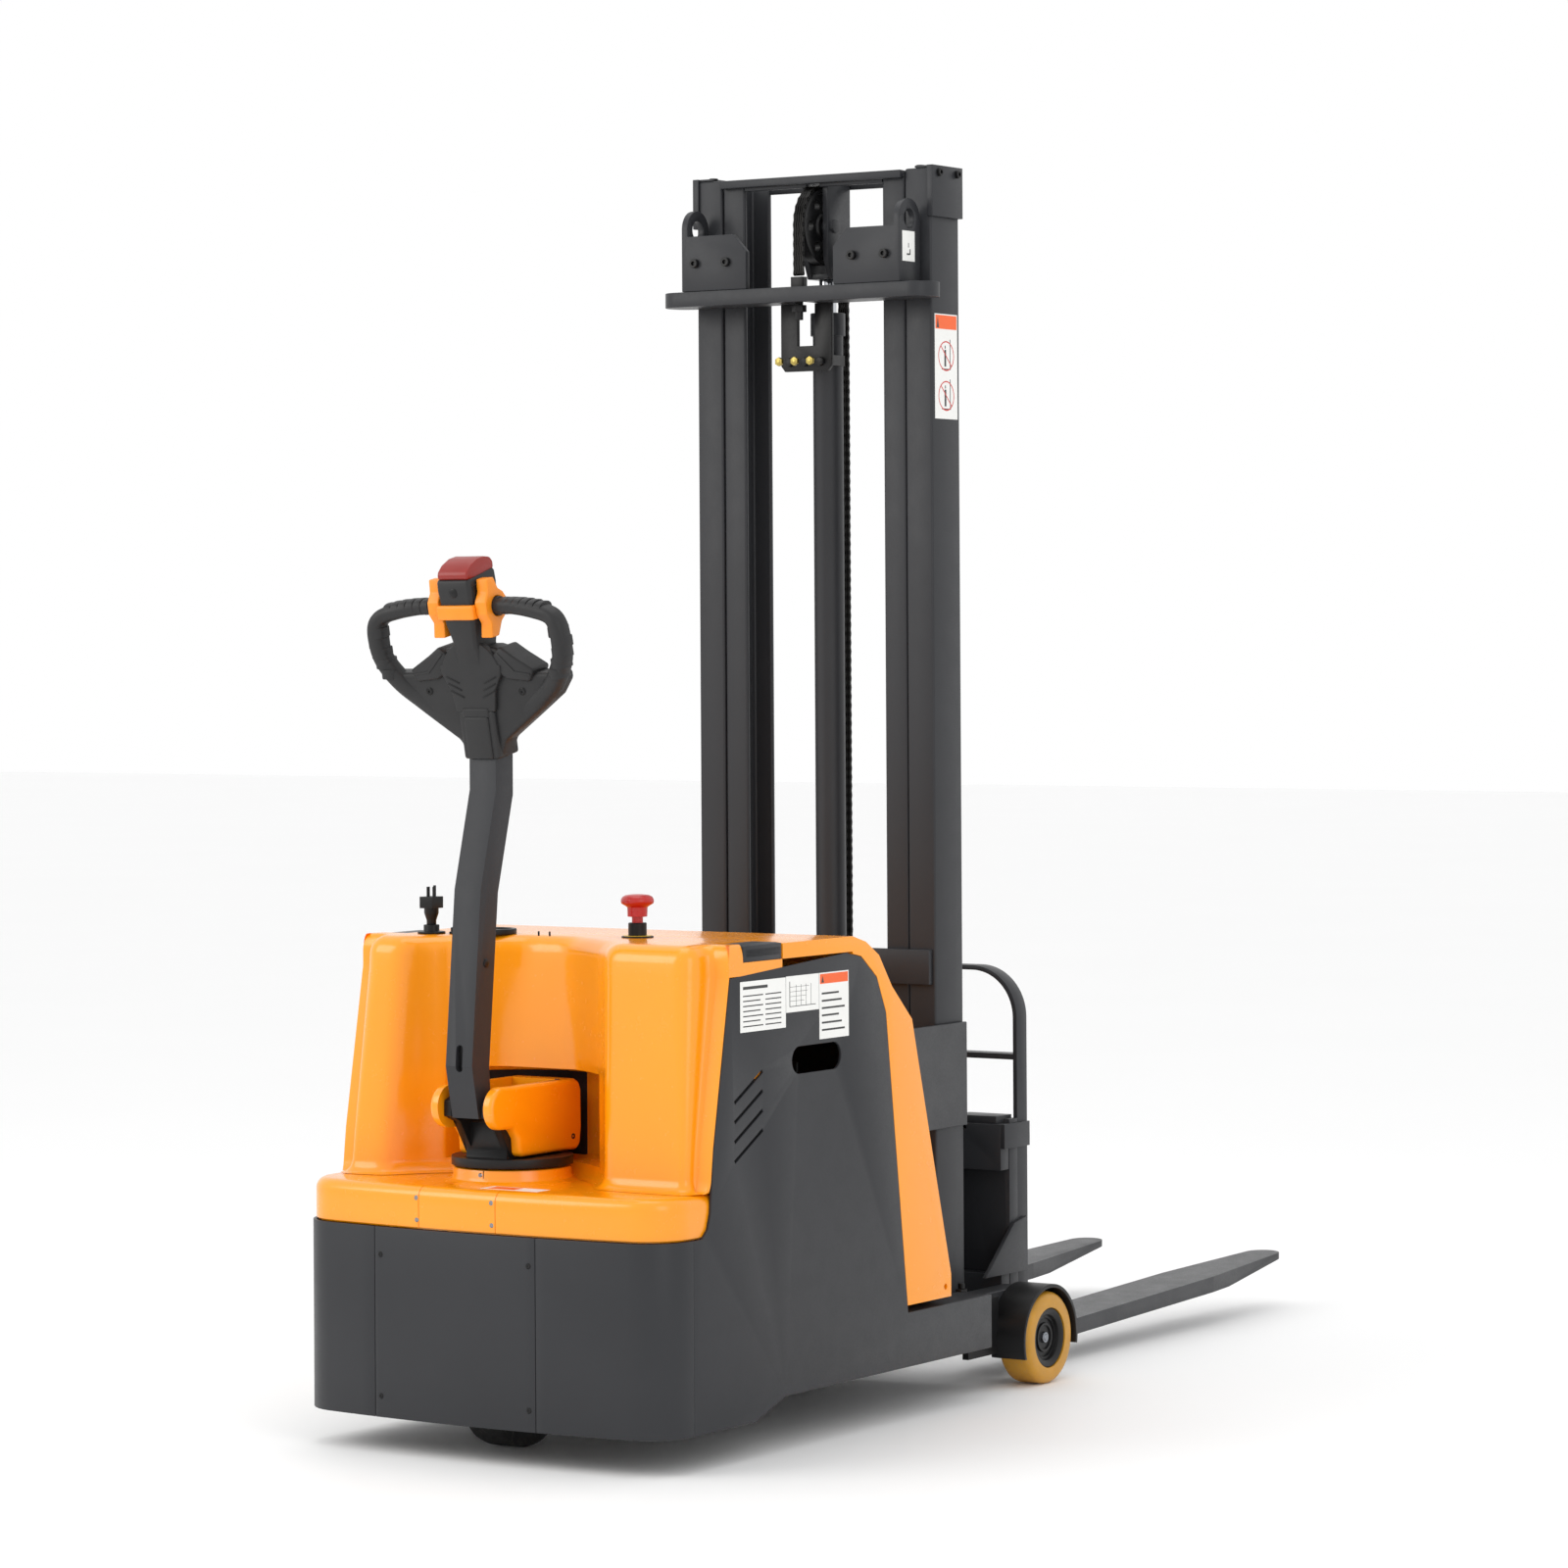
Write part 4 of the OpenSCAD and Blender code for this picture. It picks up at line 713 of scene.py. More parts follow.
class STACKER_OT_labels(StackerStep):
    """Blank data plate, load chart and notices with plain rules and shapes"""
    bl_idname = "stacker.labels"
    bl_label = "Labels"

    def label(self, name, x, z, face=None, header=0.0, rules=(), rings=()):
        face = -SIDE if face is None else face
        parts = [paint(rounded(block(name, x, [face - 0.3, face + 0.1], z), 0.08, 1), "vinyl_white")]
        wide, tall = x[1] - x[0], z[1] - z[0]
        if header:
            parts.append(printed("head", "vinyl_orange", [x[0] + 2, x[1] - 2], face - 0.3,
                                 [z[1] - 2 - header, z[1] - 2]))
            parts.append(paint(plate("sign", [(x[0] + 6, z[1] - header), (x[0] + 14, z[1] - header),
                         (x[0] + 10, z[1] - 5)], "xz", [face - 0.37, face - 0.3]), "vinyl_ink"))
        for a, b, c, d in rules:
            parts.append(printed("rule", "vinyl_ink", [x[0] + a * wide, x[0] + b * wide], face - 0.3,
                                 [z[0] + c * tall, z[0] + d * tall]))
        for a, c, radius in rings:
            centre = (x[0] + a * wide, face - 0.34, z[0] + c * tall)
            ring = turned("ring", [(radius - 2.2, -0.03), (radius, -0.03), (radius, 0.03),
                          (radius - 2.2, 0.03)], centre, (0, 1, 0), 32)
            parts.append(paint(ring, "vinyl_red"))
            slash = block("slash", [-radius + 1, radius - 1], [-0.03, 0.03], [-1.1, 1.1])
            slash.rotation_euler = (0, math.radians(45), 0)
            slash.location = Vector(centre) * MM
            parts.append(paint(apply_place(slash), "vinyl_red"))
        settle(joined(name, parts), "chassis", "label_white")

    def build(self, sizes):
        grid = [(0.06, 0.5 - 0.06 * (i % 2), 0.1 + 0.1 * i, 0.125 + 0.1 * i) for i in range(7)]
        grid += [(0.55, 0.9, 0.1 + 0.1 * i, 0.125 + 0.1 * i) for i in range(7)]
        plates = [[-933, -802, 676, 756], [-801, -704, 699, 757], [-703, -615, 650, 757]]
        rows = [grid + [(0.06, 0.6, 0.84, 0.9)],
                [(0.1, 0.12, 0.15, 0.85), (0.1, 0.9, 0.15, 0.17)]
                + [(0.12, 0.55 + 0.05 * i, 0.3 + 0.13 * i, 0.31 + 0.13 * i) for i in range(4)]
                + [(0.3 + 0.15 * i, 0.31 + 0.15 * i, 0.17, 0.75) for i in range(4)],
                [(0.08, 0.86 - 0.1 * (i % 3), 0.12 + 0.11 * i, 0.15 + 0.11 * i) for i in range(6)]]
        for index, ((x0, x1, z0, z1), rules) in enumerate(zip(plates, rows)):
            self.label("side_label_%d" % (index + 1), [x0, x1], [z0, z1], rules=rules,
                       header=16 if index == 2 else 0)
        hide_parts("label_plates")
        face = LOW["mast_channels"].y
        x0 = LOW["mast_channels"].x
        figure = [(0.42, 0.5, 0.5, 0.66), (0.44, 0.48, 0.67, 0.7), (0.66, 0.69, 0.48, 0.76),
                  (0.3, 0.7, 0.47, 0.48), (0.42, 0.5, 0.12, 0.28), (0.44, 0.48, 0.29, 0.32),
                  (0.66, 0.69, 0.1, 0.38), (0.3, 0.7, 0.09, 0.1)]
        self.label("mast_label", [x0 + 10, x0 + 84], [1674, 1855], face=face, header=24,
                   rules=figure, rings=[(0.5, 0.6, 26), (0.5, 0.22, 26)])
        bracket = LOW["lifting_brackets"]
        self.label("hook_label", [bracket.x + 10, bracket.x + 50], [1942, 1994], face=bracket.y,
                   rules=[(0.47, 0.53, 0.45, 0.6), (0.35, 0.6, 0.2, 0.26), (0.58, 0.66, 0.22, 0.4)])
        notice = [paint(rounded(block("ledge_label", [-1128, -1092], [-108, 2],
                  [LEDGE_TOP - 0.2, LEDGE_TOP + 0.25]), 0.08, 1), "vinyl_white"),
                  paint(block("rule", [-1124, -1096], [-60, -8],
                        [LEDGE_TOP + 0.2, LEDGE_TOP + 0.3]), "vinyl_orange")]
        settle(joined("ledge_label", notice), "chassis", "label_white")


class STACKER_OT_wheels(StackerStep):
    """Load wheels with dished hubs, and the drive wheel"""
    bl_idname = "stacker.wheels"
    bl_label = "Wheels"

    def build(self, sizes):
        for side, label in ((-1, "right"), (1, "left")):
            spin = JOINTS["load_wheel_%s_spin" % label]
            x, _, z = Vector(spin["pos_m"]) / MM
            face = side * max(abs(LOW["load_tyre_" + label].y), abs(HIGH["load_tyre_" + label].y))
            back = -side
            tyre = turned("load_tread_" + label, [
                (52, 1), (68, 0), (74, 2), (78, 6), (79.6, 11), (79.9, 20), (79.9, 42), (79.6, 51),
                (78, 56), (74, 60), (68, 62), (52, 61)], (x, face, z), (0, back, 0), 72)
            settle(tyre, "load_wheel_" + label, "polyurethane", "load_tyre_" + label,
                   finish="cast_polyurethane", smooth=50)
            hub = turned("load_hub_disc_" + label, [
                (10.1, 14), (20, 14), (21, 11), (25, 11), (26, 14.5), (33, 15), (34, 12), (38, 12),
                (39.5, 7), (44, 3.5), (50, 3), (52.4, 5), (52.4, 57), (44, 58), (10.1, 58)],
                (x, face, z), (0, back, 0), 60)
            settle(hub, "load_wheel_" + label, "hub_black", "load_hub_" + label, finish="black_paint")
            axle = turned("load_axle_end_" + label, [(0.4, 8), (5, 8), (6, 9.5), (9, 9.5), (9.8, 11),
                          (9.8, 16), (0.4, 16)], (x, face, z), (0, back, 0), 32)
            settle(axle, "chassis", "bright_steel", finish="ground_steel")
        drive = Vector(JOINTS["drive_spin"]["pos_m"]) / MM
        half = (HIGH["drive_wheel"].y - LOW["drive_wheel"].y) / 2
        r = drive.z
        tread = turned("drive_tyre", [(14.2, -half + 3), (70, -half + 3), (74, -half), (r - 8, -half),
                       (r - 2, -half + 3), (r - 0.2, -half + 9), (r - 0.1, half - 9), (r - 2, half - 3),
                       (r - 8, half), (74, half), (70, half - 3), (14.2, half - 3)],
                       drive, (0, 1, 0), 72)
        settle(tread, "drive_wheel", "rubber_tread", "drive_wheel", finish="vulcanised_rubber")


def chain_link(name, width, pitch):
    """One pitch of leaf chain: waisted plates on a pin."""
    r = 0.0042 / MM
    outline = arc((0, pitch), r, 0, 180, 6) + [(-r * 0.62, pitch / 2)] + arc((0, 0), r, 180, 360, 6)
    outline.append((r * 0.62, pitch / 2))
    parts = [plate("leaf", outline, "xz", [y, y + width * 0.13])
             for y in (-width / 2, -width * 0.3, -width * 0.065, width * 0.17, width * 0.37)]
    parts.append(rod("pin", (0, -width / 2 - 0.4, 0), (0, width / 2 + 0.4, 0), 2.4, 10))
    return joined(name, parts)


class STACKER_OT_chain(StackerStep):
    """Lift chain: two straight runs and the turn over the sheave"""
    bl_idname = "stacker.chain"
    bl_label = "Lift chain"

    def run(self, name, x, low, high, pitch):
        count = round((high - low) / pitch)
        link = chain_link(name, 19, (high - low) / count)
        apply_modifier(link, "ARRAY", count=count, use_relative_offset=False,
                       use_constant_offset=True,
                       constant_offset_displace=(0, 0, (high - low) / count * MM))
        link.data.transform(shift(x, 0, low))
        return link

    def strand(self, obj, node, upper_body, lower_body, high, low):
        bpy.ops.object.select_all(action="DESELECT")
        apply_place(obj)
        bpy.ops.object.shade_smooth_by_angle(angle=math.radians(35))
        paint(obj, "oiled_chain_steel")
        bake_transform(obj)
        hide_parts(node)

    def build(self, sizes):
        pitch = sizes.chain_pitch / MM
        for node, upper, lower in (("chain_front_strand", "inner_mast", "carriage"),
                                   ("chain_rear_strand", "inner_mast", "chassis")):
            x = (LOW[node].x + HIGH[node].x) / 2
            low, high = LOW[node].z + 5, HIGH[node].z
            run = self.run(node.replace("chain", "link"), x, low, high, pitch)
            self.strand(run, node, upper, lower, high, low)
        radius = HIGH["chain_front_strand"].x - SHEAVE.x - 4.5
        count = round(math.pi * radius / pitch)
        step = math.pi / count
        link = chain_link("turn_link", 19, 2 * radius * math.sin(step / 2))
        turn = []
        for i in range(count):
            angle = math.pi - step * i
            place = (shift(SHEAVE.x + radius * math.cos(angle), 0, SHEAVE.z + radius * math.sin(angle))
                     @ Matrix.Rotation(math.pi - angle + step / 2, 4, "Y"))
            turn.append(duplicate(link, "turn_%d" % i, place))
        bpy.data.objects.remove(link)
        settle(joined("link_turn", turn), "inner_mast", "chain_steel", finish="oiled_chain_steel")
        wheel = turned("sheave_wheel", [(12.1, -9), (22, -9), (24, -5), (58, -5), (60, -9), (67, -9),
                       (67, 9), (60, 9), (58, 5), (24, 5), (22, 9), (12.1, 9)], SHEAVE, (0, 1, 0), 60)
        holes = [rod("hole", (SHEAVE.x + 41 * math.cos(a), -20, SHEAVE.z + 41 * math.sin(a)),
                     (SHEAVE.x + 41 * math.cos(a), 20, SHEAVE.z + 41 * math.sin(a)), 9, 20)
                 for a in [math.pi / 3 * i for i in range(6)]]
        carved(wheel, *holes)
        settle(wheel, "chain_sheave", "chain_steel", "chain_sheave", finish="black_paint")


class STACKER_OT_hardware(StackerStep):
    """Socket-head bolts, washers and nuts, the cylinder clamp and its zinc-plated nuts and studs"""
    bl_idname = "stacker.hardware"
    bl_label = "Mast hardware"

    def socket_bolt(self, name, centre, axis, radius=8, height=8):
        profile = [(radius * 0.5, height), (radius * 0.86, height), (radius, height - 1),
                   (radius, 0), (0.4, 0), (0.4, height - 4), (radius * 0.5, height - 4)]
        return turned(name, profile, centre, axis, 20)

    def build(self, sizes):
        back = LOW["mast_channels"].x
        outer = HIGH["mast_channels"].y
        bracket_bolt_z, leg_bolt_y, cap_nub_y = 1955, 274, 215
        bolts = []
        for side in (-1, 1):
            for y in (130, 196):
                place = (LOW["lifting_brackets"].x - 0.2, side * y, bracket_bolt_z)
                bolts.append(self.socket_bolt("bolt", place, (-1, 0, 0)))
            for x in (-130, -70):
                bolts.append(self.socket_bolt("bolt", (x, side * (outer + 6), HIGH["mast_caps"].z - 12),
                                              (0, side, 0), 7, 6))
            for x in (-170, -118):
                washer = turned("washer", [(2, 0), (15, 0), (15, 2.5), (2, 2.5)],
                                (x, side * leg_bolt_y, 164), (0, 0, 1), 24)
                nut = rod("nut", (x, side * leg_bolt_y, 166), (x, side * leg_bolt_y, 176), 11, 6)
                stud = rod("stud", (x, side * leg_bolt_y, 176), (x, side * leg_bolt_y, 186), 6, 16)
                bolts += [washer, rounded(nut, 1, 1), rounded(stud, 1, 1)]
            nub = rod("nub", (back + 12, side * cap_nub_y, 2108), (back + 12, side * cap_nub_y, 2111.6),
                      8, 24)
            bolts.append(rounded(nub, 1.4, 3))
        for y in (178, -116):
            for z in (92, 318):
                x = max(LOW["rear_access_panel"].x, LOW["rear_access_panel"].x - 1.6 + y * y / 5000)
                bolts.append(turned("panel_screw", [(0.8, 0), (3.4, 0), (5, 1.7), (5, 4), (0.8, 4)],
                                    (x, y, z), (1, 0, 0), 20))
        settle(joined("mast_bolts", bolts), "chassis", "black_steel", "fasteners",
               finish="black_fitting")
        soften("cylinder_clamp", 1.2, "black_paint")
        soften("cylinder_barrel", 1.0, "satin_powder_coat")
        face = LOW["cylinder_clamp"].x
        clamp_z = 1778
        nuts = []
        for y in (-32, 0, 32):
            nut = rod("clamp_nut", (face + 1, y, clamp_z), (face - 5.4, y, clamp_z), 8, 6)
            stud = rod("clamp_stud", (face, y, clamp_z), (face - 6, y, clamp_z), 4, 16)
            nuts += [rounded(nut, 0.8, 2), rounded(stud, 0.8, 2)]
        settle(joined("clamp_nuts", nuts), "chassis", "zinc_steel", finish="yellow_zinc")


class STACKER_OT_tiller(StackerStep):
    """Turntable, amber cheeks and the bent box-section arm"""
    bl_idname = "stacker.tiller"
    bl_label = "Tiller arm"

    def build(self, sizes):
        soften("tiller_base", 1.6, "black_paint")
        low, high = LOW["tiller_base_cover"], HIGH["tiller_base_cover"]
        nose = 34
        outline = arc((PIVOT.x, PIVOT.z), nose, 270, 90, 20)
        outline += [(PIVOT.x + 20, high.z - 1), (high.x - 18, high.z), (high.x - 6, high.z - 5),
                    (high.x - 1, high.z - 18), (high.x, low.z + 36), (high.x - 4, low.z + 8),
                    (high.x - 14, low.z), (PIVOT.x + 48, low.z), (PIVOT.x + 42, low.z + 8),
                    (PIVOT.x + 40, low.z + 30), (PIVOT.x + 26, PIVOT.z - nose)]
        cover = plate("tiller_cheeks", outline, "xz", [STEER.y - 62, STEER.y + 62])
        rounded(cover, 7, 4)
        carved(cover, block("inside", [PIVOT.x - 60, high.x - 46], [STEER.y - 45, STEER.y + 45],
                            [low.z - 5, high.z + 5]))
        settle(cover, "steering", "amber_cover", "tiller_base_cover", finish="polished_abs")
        fittings = [self.cheek_screw((high.x - 26, STEER.y + side * 61.4, low.z + 22), (0, side, 0))
                    for side in (-1, 1)]
        fittings.append(self.cheek_screw((high.x - 50, STEER.y - 48, high.z - 0.8), (0, 0, 1)))
        settle(joined("cheek_screws", fittings), "steering", "black_steel", finish="black_fitting")
        arm = rounded(node_copy("tiller_arm", "tiller_arm_shell"), 2.6, 3, 25)
        mid = PIVOT.x + steps_between(632, [(553, -4), (620, -14), (900, 12)])
        rear = mid - 23
        slot = joined("slot", [block("a", [rear - 4, rear + 9], [STEER.y - 6.5, STEER.y + 6.5], [618, 648])]
                      + [rod("b", (rear - 4, STEER.y, z), (rear + 9, STEER.y, z), 6.5, 24)
                         for z in (618, 648)])
        apply_modifier(slot, "REMESH", mode="VOXEL", voxel_size=0.0008)
        carved(arm, slot)
        settle(arm, "tiller", "frame_paint", "tiller_arm", finish="satin_powder_coat")
        # Painted shade: a thin near-black sheet at the back of the arm's slot darkens the recess; the side plugs
        # are real black fittings
        dark = [block("slot_painted_shade", [rear + 8.4, rear + 8.9], [STEER.y - 6.3, STEER.y + 6.3], [612, 654])]
        dark += [turned("side_plug", [(0.5, -1), (7, -1), (7, 1), (5.5, 2), (0.5, 2)],
                        (PIVOT.x + 2, STEER.y + side * 26, 783), (0, side, 0), 24)
                 for side in (-1, 1)]
        settle(joined("arm_fittings_and_slot_shade", dark), "tiller", "black_plastic", finish="black_fitting")

    def cheek_screw(self, centre, axis):
        return turned("cheek_screw", [(1.6, 0.6), (4.2, 1.4), (5, 0.4), (5, -3), (1.6, -3)],
                      centre, axis, 20)


HEAD_PLACE = (shift(HIGH["tiller_arm"].x - 23, STEER.y, 1130)
              @ Matrix.Rotation(-LEAN, 4, "Y"))


def bar(name, path, wide, deep, sides=20):
    """A rounded bar along a path in the handle's plane; wide lies in that plane."""
    rings = []
    for i, (v, w, lean, scale) in enumerate(path):
        before, after = path[max(0, i - 1)], path[min(len(path) - 1, i + 1)]
        along = Vector((after[0] - before[0], after[1] - before[1])).normalized()
        across = Vector((along.y, -along.x))
        ring = []
        for k in range(sides):
            a = 2 * math.pi * k / sides
            flat = math.copysign(abs(math.cos(a)) ** 0.75, math.cos(a)) * wide / 2 * scale
            out = math.copysign(abs(math.sin(a)) ** 0.75, math.sin(a)) * deep / 2
            ring.append((lean + out, v + across.x * flat, w + across.y * flat))
        rings.append(ring)
    return loft(name, rings)


def spline(points, steps=6):
    """A smooth open path through points of any length."""
    ends = [points[0]] + list(points) + [points[-1]]
    result = []
    for i in range(1, len(ends) - 2):
        p = [Vector(q) for q in ends[i - 1:i + 3]]
        for s in range(steps):
            t = s / steps
            result.append(tuple(0.5 * (2 * p[1] + (p[2] - p[0]) * t
                + (2 * p[0] - 5 * p[1] + 4 * p[2] - p[3]) * t * t
                + (3 * p[1] - p[0] - 3 * p[2] + p[3]) * t ** 3)))
    return result + [tuple(points[-1])]


class STACKER_OT_handle(StackerStep):
    """Handle with ribbed finger loops, thumb levers and the red safety button"""
    bl_idname = "stacker.handle"
    bl_label = "Handle"

    def seat(self, obj, body, slot, *nodes, finish, smooth=38):
        apply_place(obj)
        obj.data.transform(HEAD_PLACE)
        settle(obj, body, slot, *nodes, finish=finish, smooth=smooth)

    def loop(self, side):
        """Finger loop: along the grip, round the corner and down into the body."""
        path = [(30, 229, -10, 0.95, 0), (62, 230, -11, 0.95, 0), (100, 228, -14, 1, 0),
                (136, 223, -18, 1.02, 0), (166, 215, -21, 1.05, 0), (179, 199, -23, 1.1, 0),
                (181, 172, -22, 1.14, 0), (177, 146, -19, 1.18, 0), (164, 122, -15, 1.22, 0),
                (146, 100, -10, 1.25, 0), (118, 78, -6, 1.3, 0), (88, 58, -4, 1.35, 0),
                (60, 40, -2, 1.35, 0), (36, 26, 0, 1.2, 0)]
        fine = [p[:4] for p in spline([q[:4] for q in path], 5)]
        return bar("loop", [(side * v, w, u, s) for v, w, u, s in fine], 25, 34)

    def ribs(self, side):
        """Raised bands between the grooves of the grip, along its upper part."""
        bands = []
        for i in range(6):
            centre = 76 + 14.5 * i
            sag = 229.5 - max(0, centre - 90) ** 2 * 0.0017
            lean = -11 - max(0, centre - 70) * 0.07
            path = [(side * (centre + d), sag - 0.04 * d, lean, s)
                    for d, s in ((-6.6, 1.0), (-5.8, 1.05), (5.8, 1.05), (6.6, 1.0))]
            bands.append(bar("band", path, 25.4, 35.6))
        for i in range(5):
            w = 190 - 17 * i
            v = steps_between(-w, [(-196, 177), (-172, 181.5), (-146, 177), (-110, 160)])
            path = [(side * (v + d * 0.02), w - d, -21.5 + (190 - w) * 0.07, s)
                    for d, s in ((-8, 1.12), (-7, 1.17), (7, 1.18), (8, 1.14))]
            bands.append(bar("band", path, 25.4, 35.4))
        return bands

    def build(self, sizes):
        parts = []
        half = [(33, -18), (45, 10), (104, 50), (150, 82), (170, 108), (168, 122), (150, 122),
                (112, 122), (84, 140), (62, 158), (40, 164)]
        outline = half + [(-v, w) for v, w in reversed(half)]
        body = plate("body", outline, "yz", [-21, 19])
        rounded(body, sizes.grip_edge / MM, 4, 25)
        parts.append(body)
        for side in (-1, 1):
            parts.append(self.loop(side))
            parts += self.ribs(side)
            parts.append(rounded(rod("grip_hub", (-10, side * 30, 229), (-10, side * 63, 229), 15.6), 1.5, 2))
            pad = plate("thumb_pad", [(side * 42, 150), (side * 60, 166), (side * 84, 150),
                        (side * 122, 128), (side * 112, 108), (side * 70, 112), (side * 40, 128)],
                        "yz", [-27, 22])
            parts.append(rounded(pad, 5, 3, 25))
            chevron = plate("chevron", [(side * 52, 154), (side * 56, 156), (side * 86, 126),
                            (side * 116, 122), (side * 115, 119), (side * 84, 122.5)],
                            "yz", [-28.2, -20])
            parts.append(rounded(chevron, 0.6, 2, 25))
        arch = [(38, 60), (44, 96), (58, 120), (60, 136)] + arc((0, 118), 58, 18, 162, 14)
        arch += [(-60, 136), (-58, 120), (-44, 96), (-38, 60)]
        parts.append(rounded(plate("arch_plate", arch, "yz", [-29, -15]), 4, 3, 25))
        parts.append(rounded(block("collar", [-29, 27], [-35, 35], [-18, 62]), 5, 3))
        parts.append(rounded(block("collar_panel", [-32.5, -20], [-24, 24], [-17, 52]), 3, 3))
        parts.append(rounded(block("collar_step", [-31, -20], [-26, 26], [50, 66]), 3, 3))
        column = []
        for w, v, back, fore in ((60, 27, -25, 18), (120, 26, -27, 20), (158, 25, -32, 22),
                                 (165, 23, -35, 24), (182, 25, -38, 27), (205, 29, -42, 29),
                                 (228, 31, -44, 30), (258, 33.5, -46, 30.5), (273, 33, -46, 30),
                                 (277, 31.5, -44, 28.5)):
            cut = 5
            lift = 0.1 * (w - 228) / 49 if w > 228 else 0
            ring = [(back, v - cut), (back + cut, v), (fore - cut, v), (fore, v - cut),
                    (fore, -v + cut), (fore - cut, -v), (back + cut, -v), (back, -v + cut)]
            column.append([(u, y, w + lift * (u - back)) for u, y in ring])
        parts.append(rounded(loft("column", column), 1.6, 2, 30))
        shell = joined("handle_shell", parts)
        self.seat(shell, "tiller", "black_plastic", "tiller_head", finish="grained_polyamide")
        dark = []
        for side in (-1, 1):
            for i in range(3):
                vent = block("vent", [-29.6, -28.6], [-14, 14], [-1.6, 1.6])
                vent.data.transform(shift(0, side * 37 - side * 3 * i, 112 - 11.5 * i)
                                    @ Matrix.Rotation(math.radians(side * 24), 4, "X"))
                dark.append(rounded(vent, 0.4, 2))
            dark.append(turned("handle_screw", [(2, 1.2), (4.6, 1.6), (6.5, 0.2), (6.5, -2), (2, -2)],
                               (-21.4, side * 92, 92), (-1, 0, 0), 24))
            side_plate = plate("side_cover", [(-36, 236), (-14, 236), (-4, 262), (-14, 272),
                               (-40, 266)], "xz", sorted((side * 31, side * 35)))
            dark.append(rounded(side_plate, 1.5, 2))
            dark.append(turned("side_screw", [(1.2, 0.4), (3.4, 1.2), (4.4, 0.2), (4.4, -1), (1.2, -1)],
                               (-30, side * 35, 244), (0, side, 0), 16))
        self.seat(joined("handle_fittings", dark), "tiller", "black_plastic", finish="black_fitting")
        lever = node_copy("throttle_levers", "thumb_levers")
        rounded(lever, 3.4, 3, 25)
        settle(lever, "throttle", "amber_plastic", "throttle_levers", finish="moulded_switch")
        band = rounded(block("band", [-50, -12], [-36, 36], [213, 237]), 4, 3)
        carved(band, block("inside", [-44.5, 0], [-33, 33], [195, 250]))
        self.seat(band, "lift_rocker", "amber_plastic", "lift_rocker", finish="moulded_switch")
        horn = turned("horn_dome", [(0.5, 47.6), (5, 47.4), (7, 46.9), (8, 46), (8, 40), (0.5, 40)],
                      (0, 0, 257), (-1, 0, 0), 32)
        self.seat(horn, "horn_button", "black_plastic", "horn_button", finish="black_fitting")
        button = plate("belly", [(-42, 277), (-44.5, 283), (-42, 290), (-30, 299), (-10, 305.5),
                       (8, 306), (24, 302), (30, 294), (30, 284), (22, 279), (-20, 276)],
                       "xz", [-29.5, 29.5])
        rounded(button, 3.5, 4, 20)
        self.seat(button, "belly_button", "red_plastic", "belly_button", finish="moulded_belly_red")


class STACKER_OT_inner_parts(StackerStep):
    """Finishes for the frame solids that stay: battery, pump, rollers and the rest"""
    bl_idname = "stacker.inner_parts"
    bl_label = "Inner parts"

    def build(self, sizes):
        by_slot = {"frame_paint": "satin_powder_coat", "amber_cover": "polished_abs",
                   "black_plastic": "black_fitting", "black_steel": "black_paint",
                   "amber_plastic": "moulded_switch", "red_plastic": "moulded_red",
                   "bright_steel": "ground_steel", "chrome_rod": "hard_chrome",
                   "cast_iron": "sand_cast_iron", "battery_case": "battery_polypropylene",
                   "zinc_steel": "yellow_zinc", "chain_steel": "oiled_chain_steel",
                   "polyurethane": "cast_polyurethane", "rubber_tread": "vulcanised_rubber",
                   "hub_black": "black_paint", "label_white": "vinyl_white"}
        for node in ("battery", "hydraulic_pump_unit", "power_electronics", "counterweight",
                     "drive_unit", "lift_rod"):
            soften(node, 1.2, by_slot[node_slot(node)])
        for node, obj in NODES.items():
            paint(obj, by_slot[node_slot(node)])


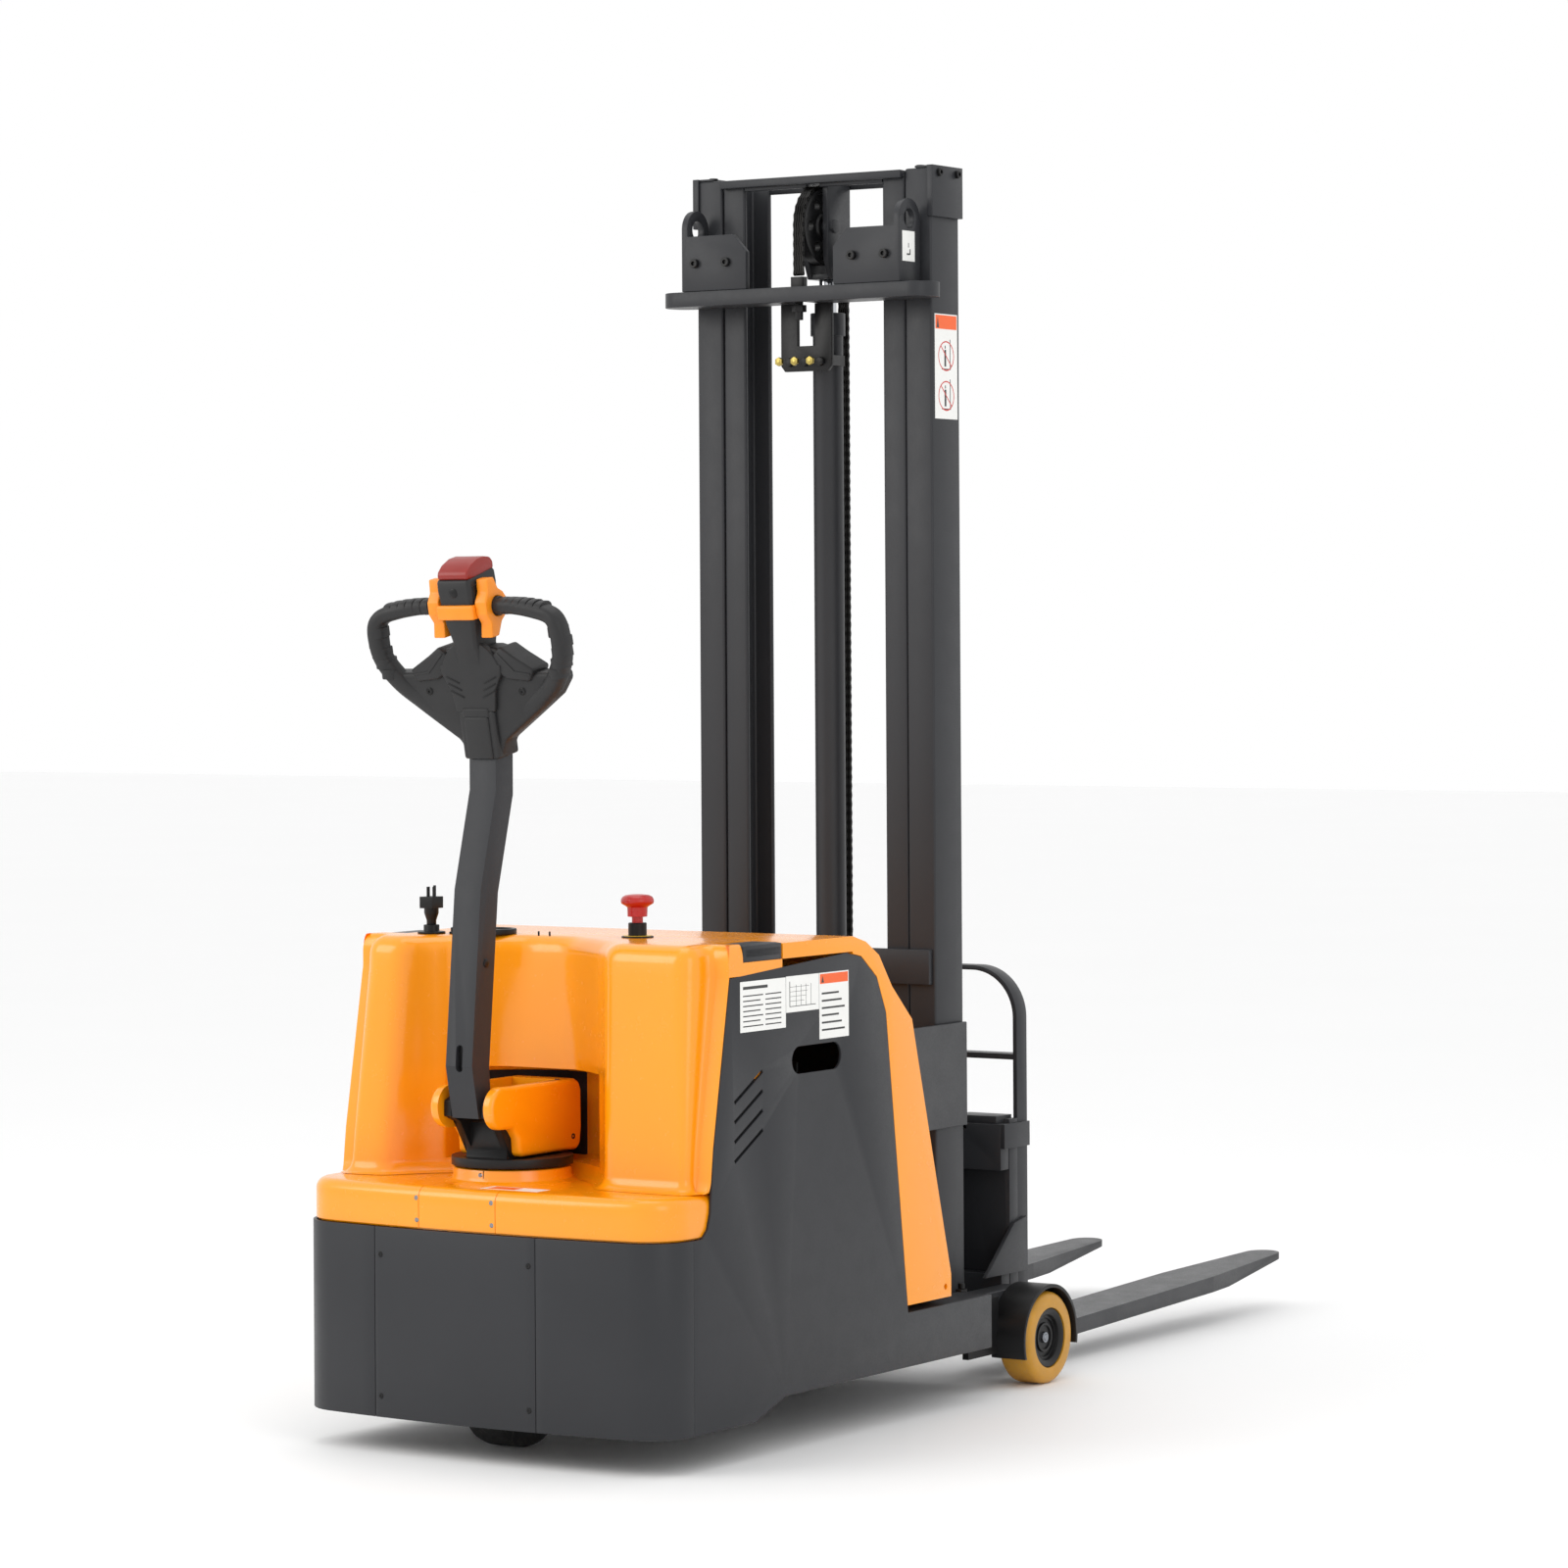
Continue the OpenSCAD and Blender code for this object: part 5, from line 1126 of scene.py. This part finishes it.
class STACKER_OT_stage(StackerStep):
    """Pale floor, soft studio lights and the camera"""
    bl_idname = "stacker.stage"
    bl_label = "Stage"

    def soft_light(self, name, place, target, size, power, colour=(1, 1, 1)):
        data = bpy.data.lights.new(name, "AREA")
        data.shape, data.size, data.size_y = "RECTANGLE", size[0], size[1]
        data.energy, data.color = power, colour
        lamp = bpy.data.objects.new(name, data)
        bpy.context.scene.collection.objects.link(lamp)
        lamp.location = place
        lamp.rotation_euler = (Vector(target) - Vector(place)).to_track_quat("-Z", "Y").to_euler()

    def build(self, sizes):
        scene = bpy.context.scene
        floor = primitive("plane", "studio_floor", size=60)
        paint(floor, "studio_floor")
        world = bpy.data.worlds.new("studio")
        world.use_nodes = True
        backdrop = world.node_tree.nodes["Background"]
        backdrop.inputs["Color"].default_value = (1, 1, 1, 1)
        backdrop.inputs["Strength"].default_value = 1.0
        scene.world = world
        self.soft_light("key", (-3.6, 2.2, 2.6), (-0.9, 0.1, 0.8), (2.2, 2.2), 45, (1, 0.985, 0.95))
        self.soft_light("fill", (-2.6, -3.6, 2.2), (-0.6, -0.2, 0.7), (1.6, 2.6), 18)
        self.soft_light("top", (-0.6, 0.2, 4.2), (-0.5, 0, 0.6), (2.6, 2.0), 20)
        camera = bpy.data.objects.new("camera", bpy.data.cameras.new("camera"))
        scene.collection.objects.link(camera)
        camera.data.lens = 115.2
        camera.data.sensor_width = 36
        camera.data.shift_y = -0.094
        turn = (Matrix.Rotation(math.radians(CAMERA_YAW), 4, "Z")
                @ Matrix.Rotation(math.radians(90), 4, "X")
                @ Matrix.Rotation(math.radians(CAMERA_ROLL), 4, "Z"))
        camera.rotation_euler = turn.to_euler()
        camera.location = CAMERA_PLACE
        camera.data.clip_end = 200
        scene.camera = camera
        scene.view_settings.view_transform = "Standard"


STEPS = [STACKER_OT_steelwork, STACKER_OT_hood, STACKER_OT_ledge, STACKER_OT_front_cover,
         STACKER_OT_controls, STACKER_OT_labels, STACKER_OT_wheels, STACKER_OT_chain,
         STACKER_OT_hardware, STACKER_OT_tiller, STACKER_OT_handle, STACKER_OT_inner_parts,
         STACKER_OT_stage]


class STACKER_PT_build(bpy.types.Panel):
    """Lists the building steps with their sizes and colours"""
    bl_label = "Walkie stacker"
    bl_idname = "STACKER_PT_build"
    bl_space_type = "VIEW_3D"
    bl_region_type = "UI"
    bl_category = "Stacker"

    def draw(self, context):
        for group in (context.scene.stacker_sizes, context.scene.stacker_colours):
            for key in group.__annotations__:
                self.layout.prop(group, key)
        for step in STEPS:
            self.layout.operator(step.bl_idname)


CLASSES = [StackerSizes, StackerColours, *STEPS, STACKER_PT_build]


def register():
    for cls in CLASSES:
        bpy.utils.register_class(cls)
    bpy.types.Scene.stacker_sizes = bpy.props.PointerProperty(type=StackerSizes)
    bpy.types.Scene.stacker_colours = bpy.props.PointerProperty(type=StackerColours)


def unregister():
    del bpy.types.Scene.stacker_colours
    del bpy.types.Scene.stacker_sizes
    for cls in reversed(CLASSES):
        bpy.utils.unregister_class(cls)


def main():
    register()
    make_finishes(bpy.context.scene.stacker_colours)
    for step in STEPS:
        group, name = step.bl_idname.split(".")
        getattr(getattr(bpy.ops, group), name)()


if __name__ == "__main__":
    main()
